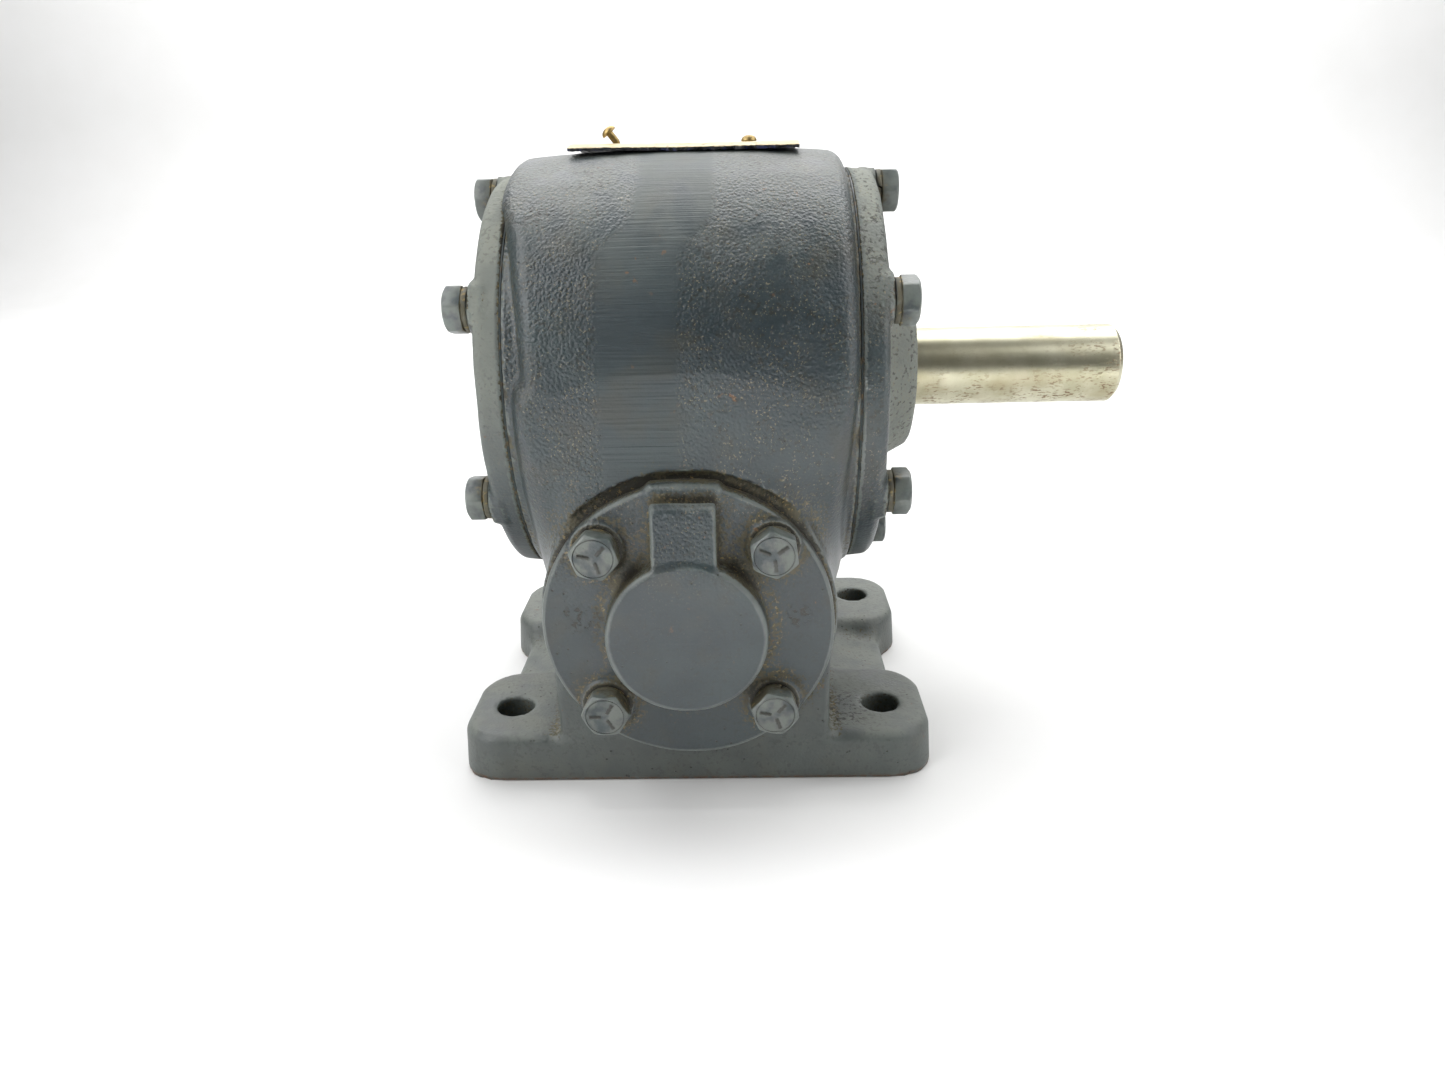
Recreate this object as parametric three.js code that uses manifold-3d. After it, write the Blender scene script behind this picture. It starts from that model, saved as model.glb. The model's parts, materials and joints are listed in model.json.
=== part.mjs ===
// Worm gearbox: a single-reduction worm drive in a cast-iron case on four feet.
//
// Millimetres, +Z up. The origin is on the floor under the centre of the case. The output shaft lies
// along X and leaves towards +X. The worm lies along Y under the wheel, with its closed cap at -Y
// and its driven end at +Y.

import * as THREE from 'three';
import { mergeVertices } from 'three/addons/utils/BufferGeometryUtils.js';
import Module from 'manifold-3d';

const wasm = await Module();
wasm.setup();

// ---------------------------------------------------------------- driving dimensions

const outputHeight = 119.4;
const centreDistance = 60.3;
const wormHeight = outputHeight - centreDistance;

// Clearances between neighbouring pieces.
const seatGap = 0.12;
const runGap = 0.3;

// Gear pair.
const toothCount = 30;
const wormPitchRadius = 17.5;
const wheelPitchRadius = centreDistance - wormPitchRadius;
const toothModule = (2 * wheelPitchRadius) / toothCount;
const axialPitch = Math.PI * toothModule;
const leadAngle = Math.atan(axialPitch / (2 * Math.PI * wormPitchRadius));
const pressureAngle = THREE.MathUtils.degToRad(20);
const backlash = 0.5;
// Angles in X and Z run the left-handed way round Y, so minus one winds a right-hand thread.
const threadHand = -1;
const faceWidth = 22;
const wormThreadLength = 48;

// Case.
const seamX = 49.4;
const flangeRadius = 63.25;
const drumCrownRadius = 70;
const drumEdgeRadius = 68.3;
const coverBoreRadius = 50.6;
const chamberRadius = 60.5;
const barrelRadius = 44;
const barrelSeatY = 67;
const pedestalHalfWidth = 42.5;
const baseHalfDepth = 63.8;
const baseHalfWidth = 76.75;
const footHeight = 16;
const footLength = 45;
const footCornerRadius = 14;
const footHoleRadius = 6;
const footHoleX = 60.9;
const footHoleY = 43.8;
const webHeight = 8.5;
const webHalfWidth = 68.5;

// Side covers.
const gasketThickness = 0.5;
const coverRimThickness = 8.5;
const coverOuterX = seamX + coverRimThickness;
const coverBoltRadius = 56;
const coverBoltCount = 6;
const outputBossX = 71.6;
const outputBossRadius = 25.5;
const outputBossRootRadius = 32.5;
const blindDiscX = 60.4;
const blindDiscRadius = 40;

// Worm-end caps.
const capRadius = 42.7;
const capFaceY = 73.3;
const capHubFaceY = 82.9;
const capHubRadius = 23.1;
const capHubRootRadius = 26.5;
const capBoltOffset = 24.9;
const capRibHalfWidth = 9;
const capRibTop = wormHeight + 39;

// Shafts.
const outputShaftRadius = 12.7;
const outputShaftEndX = 140.3;
const inputShaftRadius = 7.94;
const inputShaftEndY = 121;

// Hex bolts, 5/16 inch, each with its lock washer under the head.
const boltRadius = 3.9;
const boltHoleRadius = 4.3;
const boltHeadAcrossFlats = 12.6;
const boltHeadHeight = 5.3;
const washerRadius = 6.4;
const washerThickness = 2;
const padRadius = 7.1;
const padHeight = 1;

// Tapered roller bearings: bore radius, outer radius, width.
const wormBearing = { bore: 12.5, outer: 26, width: 16.2, inner: 47.8 };
const outputBearing = { bore: 15, outer: 31, width: 17.2, inner: 38 };
const rollerCount = 9;
const rollerRadius = 3;
const raceTaper = 0.21;

// Number of sides on round pieces.
const fine = 36;
const medium = 24;
const coarse = 16;
const padSides = 10;
const small = 8;

// ---------------------------------------------------------------- materials

const finish = (color, roughness, metalness) => ({ color, roughness, metalness });
const finishes = {
  paint: finish(0x4d555b, 0.42, 0),
  steel: finish(0xb9b39c, 0.3, 1),
  racesteel: finish(0xc4c6c8, 0.22, 1),
  bronze: finish(0xa9793a, 0.35, 1),
  iron: finish(0x5a5856, 0.7, 0.6),
  seal: finish(0x1d1b1a, 0.65, 0),
  gasket: finish(0x5c4a36, 0.9, 0),
  brass: finish(0xa98a4a, 0.35, 1),
  plate: finish(0xd9cba6, 0.55, 0.2),
};

// ---------------------------------------------------------------- solids

// A manifold solid from a closed three.js geometry. Triangles that collapse when the seam and
// pole vertices merge are dropped.
function solidOf(geometry) {
  const bare = geometry.clone();
  bare.deleteAttribute('normal');
  bare.deleteAttribute('uv');
  const merged = mergeVertices(bare, 1e-4);
  const corner = merged.index.array;
  const triangles = [];
  for (let i = 0; i < corner.length; i += 3) {
    const [a, b, c] = corner.slice(i, i + 3);
    if (a !== b && b !== c && c !== a) triangles.push(a, b, c);
  }
  return new wasm.Manifold(new wasm.Mesh({
    numProp: 3,
    vertProperties: Float32Array.from(merged.attributes.position.array),
    triVerts: Uint32Array.from(triangles),
  }));
}

function geometryOf(solid) {
  const { vertProperties, triVerts } = solid.getMesh();
  const geometry = new THREE.BufferGeometry();
  geometry.setAttribute('position', new THREE.BufferAttribute(vertProperties, 3));
  geometry.setIndex(new THREE.BufferAttribute(triVerts, 1));
  return geometry;
}

const join = (solids) => solids.reduce((sum, solid) => sum.add(solid));
const cut = (solid, tools) => tools.reduce((rest, tool) => rest.subtract(tool), solid);

// A solid of revolution. The profile lists [radius, distance along the axis] pairs from the low end
// to the high end, and a ring's profile closes on itself.
function turned(profile, axis, sides = medium) {
  const points = profile.map(([radius, along]) => new THREE.Vector2(radius, along));
  const geometry = new THREE.LatheGeometry(points, sides);
  if (axis === 'x') geometry.rotateZ(-Math.PI / 2);
  if (axis === 'z') geometry.rotateX(Math.PI / 2);
  return solidOf(geometry);
}

const rod = (radius, from, to, axis, sides = medium) =>
  turned([[0, from], [radius, from], [radius, to], [0, to]], axis, sides);

const ring = (innerRadius, outerRadius, from, to, axis, sides = medium) =>
  turned([
    [innerRadius, from], [outerRadius, from], [outerRadius, to], [innerRadius, to], [innerRadius, from],
  ], axis, sides);

function block(sizeX, sizeY, sizeZ, x, y, z) {
  return solidOf(new THREE.BoxGeometry(sizeX, sizeY, sizeZ).translate(x, y, z));
}

// An outline extruded along +Z from the given height.
function slab(shape, from, to, curveSegments = 6) {
  const geometry = new THREE.ExtrudeGeometry(shape, { depth: to - from, bevelEnabled: false, curveSegments });
  return solidOf(geometry.translate(0, 0, from));
}

// A mesh with the finish of its kind, from a solid.
function piece(name, solid, finishName) {
  const mesh = new THREE.Mesh(geometryOf(solid), new THREE.MeshStandardMaterial(finishes[finishName]));
  mesh.name = name;
  return mesh;
}

// ---------------------------------------------------------------- bolt patterns

// The side covers' bolts, as [y, z] about the output axis. One bolt is at the very top.
const coverBoltPlaces = Array.from({ length: coverBoltCount }, (_, i) => {
  const angle = Math.PI / 2 + (i * 2 * Math.PI) / coverBoltCount;
  return [coverBoltRadius * Math.cos(angle), outputHeight + coverBoltRadius * Math.sin(angle)];
});

// The caps' bolts, as [x, z] about the worm axis.
const capBoltPlaces = [[-1, 1], [1, 1], [1, -1], [-1, -1]]
  .map(([x, z]) => [x * capBoltOffset, wormHeight + z * capBoltOffset]);

const coverHoles = (radius, from, to) =>
  coverBoltPlaces.map(([y, z]) => rod(radius, from, to, 'x', small).translate([0, y, z]));

const capHoles = (radius, from, to) =>
  capBoltPlaces.map(([x, z]) => rod(radius, from, to, 'y', small).translate([x, 0, z]));

// ---------------------------------------------------------------- case

// The gear drum with a side flange at each seam. It is crowned between two rounded shoulders.
function drum() {
  const shoulderFrom = 40.6;
  const shoulderWidth = 5.8;
  const shoulderSteps = 3;
  const crown = [-0.9, -0.5, 0, 0.5, 0.9].map((share) =>
    [drumCrownRadius - (drumCrownRadius - drumEdgeRadius) * share * share, share * shoulderFrom]);
  const shoulder = Array.from({ length: shoulderSteps + 1 }, (_, i) => {
    const angle = (i * Math.PI) / 2 / shoulderSteps;
    return [
      flangeRadius + (drumEdgeRadius - flangeRadius) * Math.sin(angle),
      shoulderFrom + shoulderWidth * Math.cos(angle),
    ];
  });
  const low = [[0, -seamX], [flangeRadius, -seamX], ...shoulder.map(([radius, x]) => [radius, -x])];
  const high = [...shoulder.toReversed(), [flangeRadius, seamX], [0, seamX]];
  return turned([...low, ...crown, ...high], 'x', fine).translate([0, 0, outputHeight]);
}

// One foot pad, at +X and -Y, with its two outer corners rounded.
function footPad() {
  const sunkIntoPedestal = 4;
  const inner = pedestalHalfWidth - sunkIntoPedestal;
  const front = -baseHalfDepth;
  const back = front + footLength;
  const shape = new THREE.Shape();
  shape.moveTo(inner, front);
  shape.lineTo(baseHalfWidth - footCornerRadius, front);
  shape.absarc(baseHalfWidth - footCornerRadius, front + footCornerRadius, footCornerRadius,
    -Math.PI / 2, 0, false);
  shape.absarc(baseHalfWidth - footCornerRadius, back - footCornerRadius, footCornerRadius,
    0, Math.PI / 2, false);
  shape.lineTo(inner, back);
  const bevel = 1.6;
  const geometry = new THREE.ExtrudeGeometry(shape, {
    depth: footHeight - bevel, bevelThickness: bevel, bevelSize: bevel, bevelOffset: -bevel,
    bevelSegments: 1, curveSegments: 5,
  });
  return solidOf(geometry).trimByPlane([0, 0, 1], 0);
}

function base() {
  const right = footPad();
  const front = right.add(right.mirror([1, 0, 0]));
  const web = block(2 * webHalfWidth, baseHalfDepth, webHeight, 0, 0, webHeight / 2);
  const pedestal = block(2 * pedestalHalfWidth, 2 * baseHalfDepth, wormHeight, 0, 0, wormHeight / 2);
  return join([front, front.mirror([0, 1, 0]), web, pedestal]);
}

// The wheel chamber is open at both covers, and the worm tunnel at both caps. The tunnel widens
// into an oil sump between its bearings.
function chambers() {
  const neck = 37;
  const wide = 34;
  const past = seamX + 1;
  const wheelChamber = turned([
    [0, -past], [coverBoreRadius, -past], [coverBoreRadius, -neck], [chamberRadius, -wide],
    [chamberRadius, wide], [coverBoreRadius, neck], [coverBoreRadius, past], [0, past],
  ], 'x', fine).translate([0, 0, outputHeight]);
  const bearingBore = wormBearing.outer + seatGap;
  const tunnel = rod(bearingBore, -barrelSeatY - 1, barrelSeatY + 1, 'y', medium)
    .translate([0, 0, wormHeight]);
  const sumpHalfWidth = 31;
  const sumpHalfDepth = 42;
  const sumpFloor = 14;
  const sump = block(2 * sumpHalfWidth, 2 * sumpHalfDepth, wormHeight - sumpFloor,
    0, 0, (wormHeight + sumpFloor) / 2);
  return [wheelChamber, tunnel, sump];
}

const fillPlug = { at: [0, 47.5, outputHeight + 47.5], tilt: -Math.PI / 4 };
const drainPlug = [-pedestalHalfWidth, 0, 27];
const levelPlug = [pedestalHalfWidth, 33, 43];
const plugRadius = 7.4;
const plugHoleRadius = plugRadius + seatGap;

// A plug's solid stands on +Z, and its thread reaches down from the origin.
const placeFill = (solid) =>
  solid.rotate([THREE.MathUtils.radToDeg(fillPlug.tilt), 0, 0]).translate(fillPlug.at);
const placeDrain = (solid) => solid.rotate([0, -90, 0]).translate(drainPlug);
const placeLevel = (solid) => solid.rotate([0, 90, 0]).translate(levelPlug);

function housing() {
  const barrel = rod(barrelRadius, -barrelSeatY, barrelSeatY, 'y', fine).translate([0, 0, wormHeight]);
  const drumSide = barrelSeatY + 10;
  const spotFaces = [[-drumSide, -barrelSeatY], [barrelSeatY, drumSide]].map(([from, to]) =>
    rod(barrelRadius + 1, from, to, 'y', fine).translate([0, 0, wormHeight]));
  const footHoles = [-1, 1].flatMap((x) => [-1, 1].map((y) =>
    rod(footHoleRadius, -1, footHeight + 1, 'z', padSides).translate([x * footHoleX, y * footHoleY, 0])));
  const coverThreadDepth = 12;
  const capThreadDepth = 15;
  const threads = [
    ...coverHoles(boltHoleRadius, seamX - coverThreadDepth, seamX + 1),
    ...coverHoles(boltHoleRadius, -seamX - 1, -seamX + coverThreadDepth),
    ...capHoles(boltHoleRadius, barrelSeatY - capThreadDepth, barrelSeatY + 1),
    ...capHoles(boltHoleRadius, -barrelSeatY - 1, -barrelSeatY + capThreadDepth),
  ];
  const plugHoleDepth = 20;
  const plugHole = rod(plugHoleRadius, -plugHoleDepth, 8, 'z', small);
  const plugHoles = [placeFill, placeDrain, placeLevel].map((place) => place(plugHole));
  const cast = join([drum(), barrel, base()]);
  return cut(cast, [
    ...spotFaces, ...chambers(), ...footHoles, ...threads, ...plugHoles, ...screwHoles(screwHoleRadius),
  ]);
}

// ---------------------------------------------------------------- side covers

// Everything on the side covers is drawn for +X, and mirrored for the closed one.
const coverSeat = seamX + gasketThickness + 2 * seatGap;
const pilotRadius = coverBoreRadius - seatGap;
const bearingPocket = outputBearing.outer + 2 * seatGap;
const bearingOuterX = outputBearing.inner + outputBearing.width + 2 * seatGap;

function coverOf(profile) {
  const pads = coverBoltPlaces.map(([y, z]) =>
    rod(padRadius, coverOuterX - 1, coverOuterX + padHeight, 'x', padSides).translate([0, y, z]));
  const body = turned(profile, 'x', fine).translate([0, 0, outputHeight]);
  return cut(join([body, ...pads]), coverHoles(boltHoleRadius, seamX - 1, coverOuterX + padHeight + 1));
}

// The pilot, the bearing pocket and the rim, shared by both covers, outer edge last.
const pocketStart = outputBearing.inner;
const pocketWall = 5.5;
const pilotStart = seamX - 5;
const pilotWall = 7;
const coverInside = [
  [bearingPocket, bearingOuterX], [bearingPocket, pocketStart], [bearingPocket + pocketWall, pocketStart],
  [pilotRadius - pilotWall, pilotStart], [pilotRadius, pilotStart], [pilotRadius, coverSeat],
  [flangeRadius, coverSeat], [flangeRadius, coverOuterX],
];

const sealInnerX = 60.5;
const sealOuterX = 70.2;
const outputSealRadius = 19;
const shaftClearance = 1.4;

function outputCover() {
  const shaftHole = outputShaftRadius + shaftClearance;
  const sealPocket = outputSealRadius + seatGap;
  const lipX = sealInnerX - 2;
  const filletWidth = 6;
  const filletHeight = 2;
  return coverOf([
    [shaftHole, lipX], [shaftHole + filletWidth, bearingOuterX], ...coverInside,
    [outputBossRootRadius + filletWidth, coverOuterX], [outputBossRootRadius, coverOuterX + filletHeight],
    [outputBossRadius, outputBossX],
    [sealPocket, outputBossX], [sealPocket, sealInnerX], [shaftHole, sealInnerX], [shaftHole, lipX],
  ]);
}

function blindCover() {
  const discSlope = 4;
  const right = coverOf([
    [0, bearingOuterX], ...coverInside,
    [blindDiscRadius + discSlope, coverOuterX], [blindDiscRadius, blindDiscX], [0, blindDiscX],
  ]);
  return right.mirror([1, 0, 0]);
}

function coverGasket() {
  const inner = coverBoreRadius + 0.6;
  const from = seamX + seatGap;
  const body = ring(inner, flangeRadius - 0.3, from, from + gasketThickness, 'x', medium)
    .translate([0, 0, outputHeight]);
  return cut(body, coverHoles(boltHoleRadius + 0.3, seamX - 1, seamX + 2));
}

// ---------------------------------------------------------------- worm-end caps

// Both caps are drawn for +Y, and the closed one is mirrored to the front.
const capSeat = barrelSeatY + gasketThickness + 2 * seatGap;
const capPilotRadius = wormBearing.outer - 0.3;
const capPilotEnd = wormBearing.inner + wormBearing.width + 3 * seatGap;
const inputSealRadius = 15.5;
const inputSealInnerY = 73.2;

function capOf(profile) {
  const pads = capBoltPlaces.map(([x, z]) =>
    rod(padRadius, capFaceY - 1, capFaceY + padHeight, 'y', padSides).translate([x, 0, z]));
  const body = turned(profile, 'y', fine).translate([0, 0, wormHeight]);
  return join([body, ...pads]);
}

const capHolesThrough = () => capHoles(boltHoleRadius, capSeat - 2, capFaceY + padHeight + 2);

const capEdge = 1.2;
const capOutside = [
  [capPilotRadius, capPilotEnd], [capPilotRadius, capSeat], [capRadius, capSeat],
  [capRadius, capFaceY - capEdge], [capRadius - capEdge, capFaceY], [capHubRootRadius, capFaceY],
  [capHubRadius + 0.6, capFaceY + 2.6],
  [capHubRadius, capHubFaceY - capEdge], [capHubRadius - capEdge, capHubFaceY],
];

// The rib over the hub: a bar from the hub up to the rim, whose front slopes back as it rises.
function capRib() {
  const sunk = capFaceY - 1;
  const front = capHubFaceY - 0.4;
  const frontAtTop = 80;
  const root = wormHeight + 15;
  const slopeFrom = wormHeight + 21.5;
  const shape = new THREE.Shape();
  shape.moveTo(sunk, root);
  shape.lineTo(front, root);
  shape.lineTo(front, slopeFrom);
  shape.lineTo(frontAtTop, capRibTop - 1);
  shape.lineTo(capFaceY + 3, capRibTop + 1.5);
  shape.lineTo(sunk, capRibTop + 2);
  const bar = new THREE.ExtrudeGeometry(shape, { depth: 2 * capRibHalfWidth, bevelEnabled: false });
  bar.translate(0, 0, -capRibHalfWidth);
  bar.applyMatrix4(new THREE.Matrix4().makeBasis(
    new THREE.Vector3(0, 1, 0), new THREE.Vector3(0, 0, 1), new THREE.Vector3(1, 0, 0)));
  return solidOf(bar);
}

const capHollowRadius = 16.5;

function frontCap() {
  const endWall = 6;
  const hollowEnd = capHubFaceY - endWall;
  const back = capOf([
    [0, hollowEnd], [capHollowRadius, hollowEnd], [capHollowRadius, capPilotEnd], ...capOutside,
    [0, capHubFaceY],
  ]).add(capRib());
  return cut(back, capHolesThrough()).mirror([0, 1, 0]);
}

function rearCap() {
  const shaftHole = inputShaftRadius + shaftClearance;
  const sealPocket = inputSealRadius + seatGap;
  const lipY = inputSealInnerY - 2.5;
  const back = capOf([
    [shaftHole, lipY], [capHollowRadius, capPilotEnd], ...capOutside,
    [sealPocket, capHubFaceY], [sealPocket, inputSealInnerY], [shaftHole, inputSealInnerY],
    [shaftHole, lipY],
  ]);
  return cut(back, capHolesThrough());
}

function capGasket() {
  const from = barrelSeatY + seatGap;
  const body = ring(wormBearing.outer + 0.3, capRadius - 0.3, from, from + gasketThickness, 'y', medium)
    .translate([0, 0, wormHeight]);
  return cut(body, capHoles(boltHoleRadius + 0.3, from - 1, from + 2));
}

// ---------------------------------------------------------------- bolts

// A hex bolt that stands on +Z: its head is above the washer, whose lower face is at zero.
function boltSolid(length) {
  const headRadius = boltHeadAcrossFlats / 2 / Math.cos(Math.PI / 6);
  const chamfer = 0.7;
  const top = washerThickness + boltHeadHeight;
  const head = turned([
    [0, washerThickness - 0.3], [headRadius, washerThickness - 0.3], [headRadius, top - chamfer],
    [headRadius - 2 * chamfer, top], [0, top],
  ], 'z', 6);
  const stem = turned([
    [0, -length], [boltRadius, -length], [boltRadius, 0], [washerRadius, 0],
    [washerRadius, washerThickness], [0, washerThickness],
  ], 'z', small);
  return head.add(stem);
}

function boltsOf(name, places, toPlace, length) {
  const solid = boltSolid(length);
  return places.map((at, i) => piece(`${name}_${i + 1}`, toPlace(solid, at), 'paint'));
}

const coverBoltLength = 17;
const capBoltLength = 19;
const coverBoltFace = coverOuterX + padHeight + seatGap;
const capBoltFace = capFaceY + padHeight + seatGap;

// A different twist for each bolt, as wrenches leave them.
const twistOf = (place) => (place[0] * 7 + place[1] * 13) % 60;

const outputCoverBolts = () => boltsOf('output_cover_bolt', coverBoltPlaces, (solid, at) =>
  solid.rotate([0, 0, twistOf(at)]).rotate([0, 90, 0]).translate([coverBoltFace, ...at]), coverBoltLength);
const blindCoverBolts = () => boltsOf('blind_cover_bolt', coverBoltPlaces, (solid, at) =>
  solid.rotate([0, 0, twistOf(at)]).rotate([0, -90, 0]).translate([-coverBoltFace, ...at]), coverBoltLength);
const frontCapBolts = () => boltsOf('front_cap_bolt', capBoltPlaces, (solid, at) =>
  solid.rotate([90, 0, 0]).translate([at[0], -capBoltFace, at[1]]), capBoltLength);
const rearCapBolts = () => boltsOf('rear_cap_bolt', capBoltPlaces, (solid, at) =>
  solid.rotate([-90, 0, 0]).translate([at[0], capBoltFace, at[1]]), capBoltLength);

// ---------------------------------------------------------------- shafts

const hubHalfLength = 20;
const hubSeatRadius = 16;
const wheelKeySize = { width: 8, height: 7, length: 30 };

function outputShaft() {
  const journal = outputBearing.bore - seatGap;
  const innerEnd = -(outputBearing.inner + outputBearing.width);
  const shoulder = hubSeatRadius;
  const chamfer = 1.6;
  const body = turned([
    [0, innerEnd], [journal - 0.8, innerEnd], [journal, innerEnd + 0.8], [journal, -outputBearing.inner],
    [shoulder, -outputBearing.inner], [shoulder, outputBearing.inner], [journal, outputBearing.inner],
    [journal, 57], [outputShaftRadius, 58], [outputShaftRadius, outputShaftEndX - chamfer],
    [outputShaftRadius - chamfer, outputShaftEndX], [0, outputShaftEndX],
  ], 'x', medium).translate([0, 0, outputHeight]);
  const keywayWidth = 6.35;
  const keywayLength = 44;
  const keywayDepth = 3.2;
  const keyway = block(keywayLength + 1, keywayDepth + 1, keywayWidth,
    outputShaftEndX + 0.5 - keywayLength / 2, outputShaftRadius - keywayDepth / 2 + 0.5, outputHeight);
  const keySeat = block(wheelKeySize.length + 0.4, wheelKeySize.width + 0.3, wheelKeySize.height,
    0, 0, outputHeight + hubSeatRadius);
  return cut(body, [keyway, keySeat]);
}

function wheelKey() {
  const height = wheelKeySize.height - 0.6;
  return block(wheelKeySize.length, wheelKeySize.width, height, 0, 0, outputHeight + hubSeatRadius);
}

const rimInnerRadius = 34;

function wheelHub() {
  const bore = hubSeatRadius + 2 * seatGap;
  const seat = rimInnerRadius - 2 * seatGap;
  const flange = faceWidth / 2 - 1;
  const body = turned([
    [bore, -hubHalfLength], [24, -hubHalfLength], [25, -flange], [seat, -flange], [seat, flange],
    [25, flange], [24, hubHalfLength], [bore, hubHalfLength], [bore, -hubHalfLength],
  ], 'x', medium).translate([0, 0, outputHeight]);
  const keySlot = block(2 * hubHalfLength + 1, wheelKeySize.width + 0.3, wheelKeySize.height,
    0, 0, outputHeight + hubSeatRadius);
  return body.subtract(keySlot);
}

// One side's spacer, between the hub and the inner race.
function spacer(side) {
  const inner = hubSeatRadius + 2 * seatGap;
  const from = hubHalfLength + seatGap;
  const to = outputBearing.inner - seatGap;
  const body = ring(inner, inner + 3.5, from, to, 'x', medium).translate([0, 0, outputHeight]);
  return side > 0 ? body : body.mirror([1, 0, 0]);
}

// The bronze rim: involute teeth, twisted along the face to the worm's lead angle.
function wheelRim() {
  const tip = wheelPitchRadius + 0.9 * toothModule;
  const root = wheelPitchRadius - 1.2 * toothModule;
  const baseRadius = wheelPitchRadius * Math.cos(pressureAngle);
  const involute = (angle) => Math.tan(angle) - angle;
  const halfToothAtPitch = Math.PI / (2 * toothCount) - backlash / (4 * wheelPitchRadius);
  // Half the tooth's angle at a radius.
  const halfTooth = (radius) => {
    const angle = Math.acos(Math.min(1, baseRadius / radius));
    return halfToothAtPitch + involute(pressureAngle) - involute(angle);
  };
  const flank = [root, baseRadius + 0.8, wheelPitchRadius + 0.3 * toothModule, tip];
  const outline = [];
  for (let i = 0; i < toothCount; i += 1) {
    // A tooth space faces the worm, at the bottom of the wheel.
    const middle = -Math.PI / 2 + ((i + 0.5) * 2 * Math.PI) / toothCount;
    const point = (radius, angle) =>
      new THREE.Vector2(radius * Math.cos(middle + angle), radius * Math.sin(middle + angle));
    flank.forEach((radius) => outline.push(point(radius, -halfTooth(radius))));
    flank.toReversed().forEach((radius) => outline.push(point(radius, halfTooth(radius))));
  }
  const shape = new THREE.Shape(outline);
  const geometry = new THREE.ExtrudeGeometry(shape, { depth: faceWidth, bevelEnabled: false });
  geometry.translate(0, 0, -faceWidth / 2);
  const place = geometry.attributes.position;
  const twistPerLength = Math.tan(leadAngle) / wheelPitchRadius;
  const wheelAxis = new THREE.Vector3(0, 0, 1);
  const spot = new THREE.Vector3();
  for (let i = 0; i < place.count; i += 1) {
    spot.fromBufferAttribute(place, i).applyAxisAngle(wheelAxis, twistPerLength * place.getZ(i));
    place.setXYZ(i, spot.x, spot.y, spot.z);
  }
  // The outline's own axes become Y and Z, and its extrusion becomes X.
  geometry.applyMatrix4(new THREE.Matrix4().makeBasis(
    new THREE.Vector3(0, 1, 0), new THREE.Vector3(0, 0, 1), new THREE.Vector3(1, 0, 0)));
  const bore = rod(rimInnerRadius, -faceWidth, faceWidth, 'x', medium);
  return solidOf(geometry).subtract(bore).translate([0, 0, outputHeight]);
}

// The worm's thread: one ridge of trapezoid section, swept round the shaft.
function wormThread() {
  const turnSteps = 20;
  const root = wormPitchRadius - 1.2 * toothModule;
  const tip = wormPitchRadius + 0.9 * toothModule;
  const sunk = root - 1.5;
  const halfAtPitch = axialPitch / 4 - backlash / 4;
  const halfWidth = (radius) => halfAtPitch - (radius - wormPitchRadius) * Math.tan(pressureAngle);
  const section = [
    [sunk, -halfWidth(sunk)], [tip, -halfWidth(tip)], [tip, halfWidth(tip)], [sunk, halfWidth(sunk)],
  ];
  const turns = Math.ceil(wormThreadLength / axialPitch / 2) + 1;
  const steps = 2 * turns * turnSteps;
  const vertices = [];
  for (let i = 0; i <= steps; i += 1) {
    const turn = i / turnSteps - turns;
    // The thread's crest faces the wheel, straight up, at the middle of the shaft.
    const angle = Math.PI / 2 + turn * 2 * Math.PI;
    const middle = threadHand * turn * axialPitch;
    for (const [radius, along] of section) {
      vertices.push(radius * Math.cos(angle), middle + along, radius * Math.sin(angle));
    }
  }
  const triangles = [];
  const sides = section.length;
  for (let i = 0; i < steps; i += 1) {
    for (let j = 0; j < sides; j += 1) {
      const a = i * sides + j;
      const b = i * sides + ((j + 1) % sides);
      triangles.push(a, b, a + sides, b, b + sides, a + sides);
    }
  }
  const last = steps * sides;
  triangles.push(0, 2, 1, 0, 3, 2, last, last + 1, last + 2, last, last + 2, last + 3);
  const geometry = new THREE.BufferGeometry();
  geometry.setAttribute('position', new THREE.Float32BufferAttribute(vertices, 3));
  geometry.setIndex(triangles);
  return solidOf(geometry);
}

function wormShaft() {
  const root = wormPitchRadius - 1.2 * toothModule;
  const tip = wormPitchRadius + 0.9 * toothModule;
  const half = wormThreadLength / 2;
  const envelope = turned([
    [0, -half], [root, -half], [tip + 1, -half + 4], [tip + 1, half - 4], [root, half], [0, half],
  ], 'y', coarse);
  const journal = wormBearing.bore - 2 * seatGap;
  const frontEnd = -(wormBearing.inner + wormBearing.width);
  const chamfer = 1;
  const core = turned([
    [0, frontEnd], [journal - chamfer, frontEnd], [journal, frontEnd + chamfer],
    [journal, -wormBearing.inner], [root, -wormBearing.inner], [root, wormBearing.inner],
    [journal, wormBearing.inner], [journal, -frontEnd + 1], [inputShaftRadius, -frontEnd + 3],
    [inputShaftRadius, inputShaftEndY - chamfer], [inputShaftRadius - chamfer, inputShaftEndY],
    [0, inputShaftEndY],
  ], 'y', coarse);
  const keywayWidth = 4.76;
  const keywayLength = 28;
  const keywayDepth = 2.4;
  const keyway = block(keywayWidth, keywayLength + 1, keywayDepth + 1,
    0, inputShaftEndY + 0.5 - keywayLength / 2, inputShaftRadius - keywayDepth / 2 + 0.5);
  return core.add(wormThread().intersect(envelope)).subtract(keyway).translate([0, 0, wormHeight]);
}

// ---------------------------------------------------------------- bearings

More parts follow.
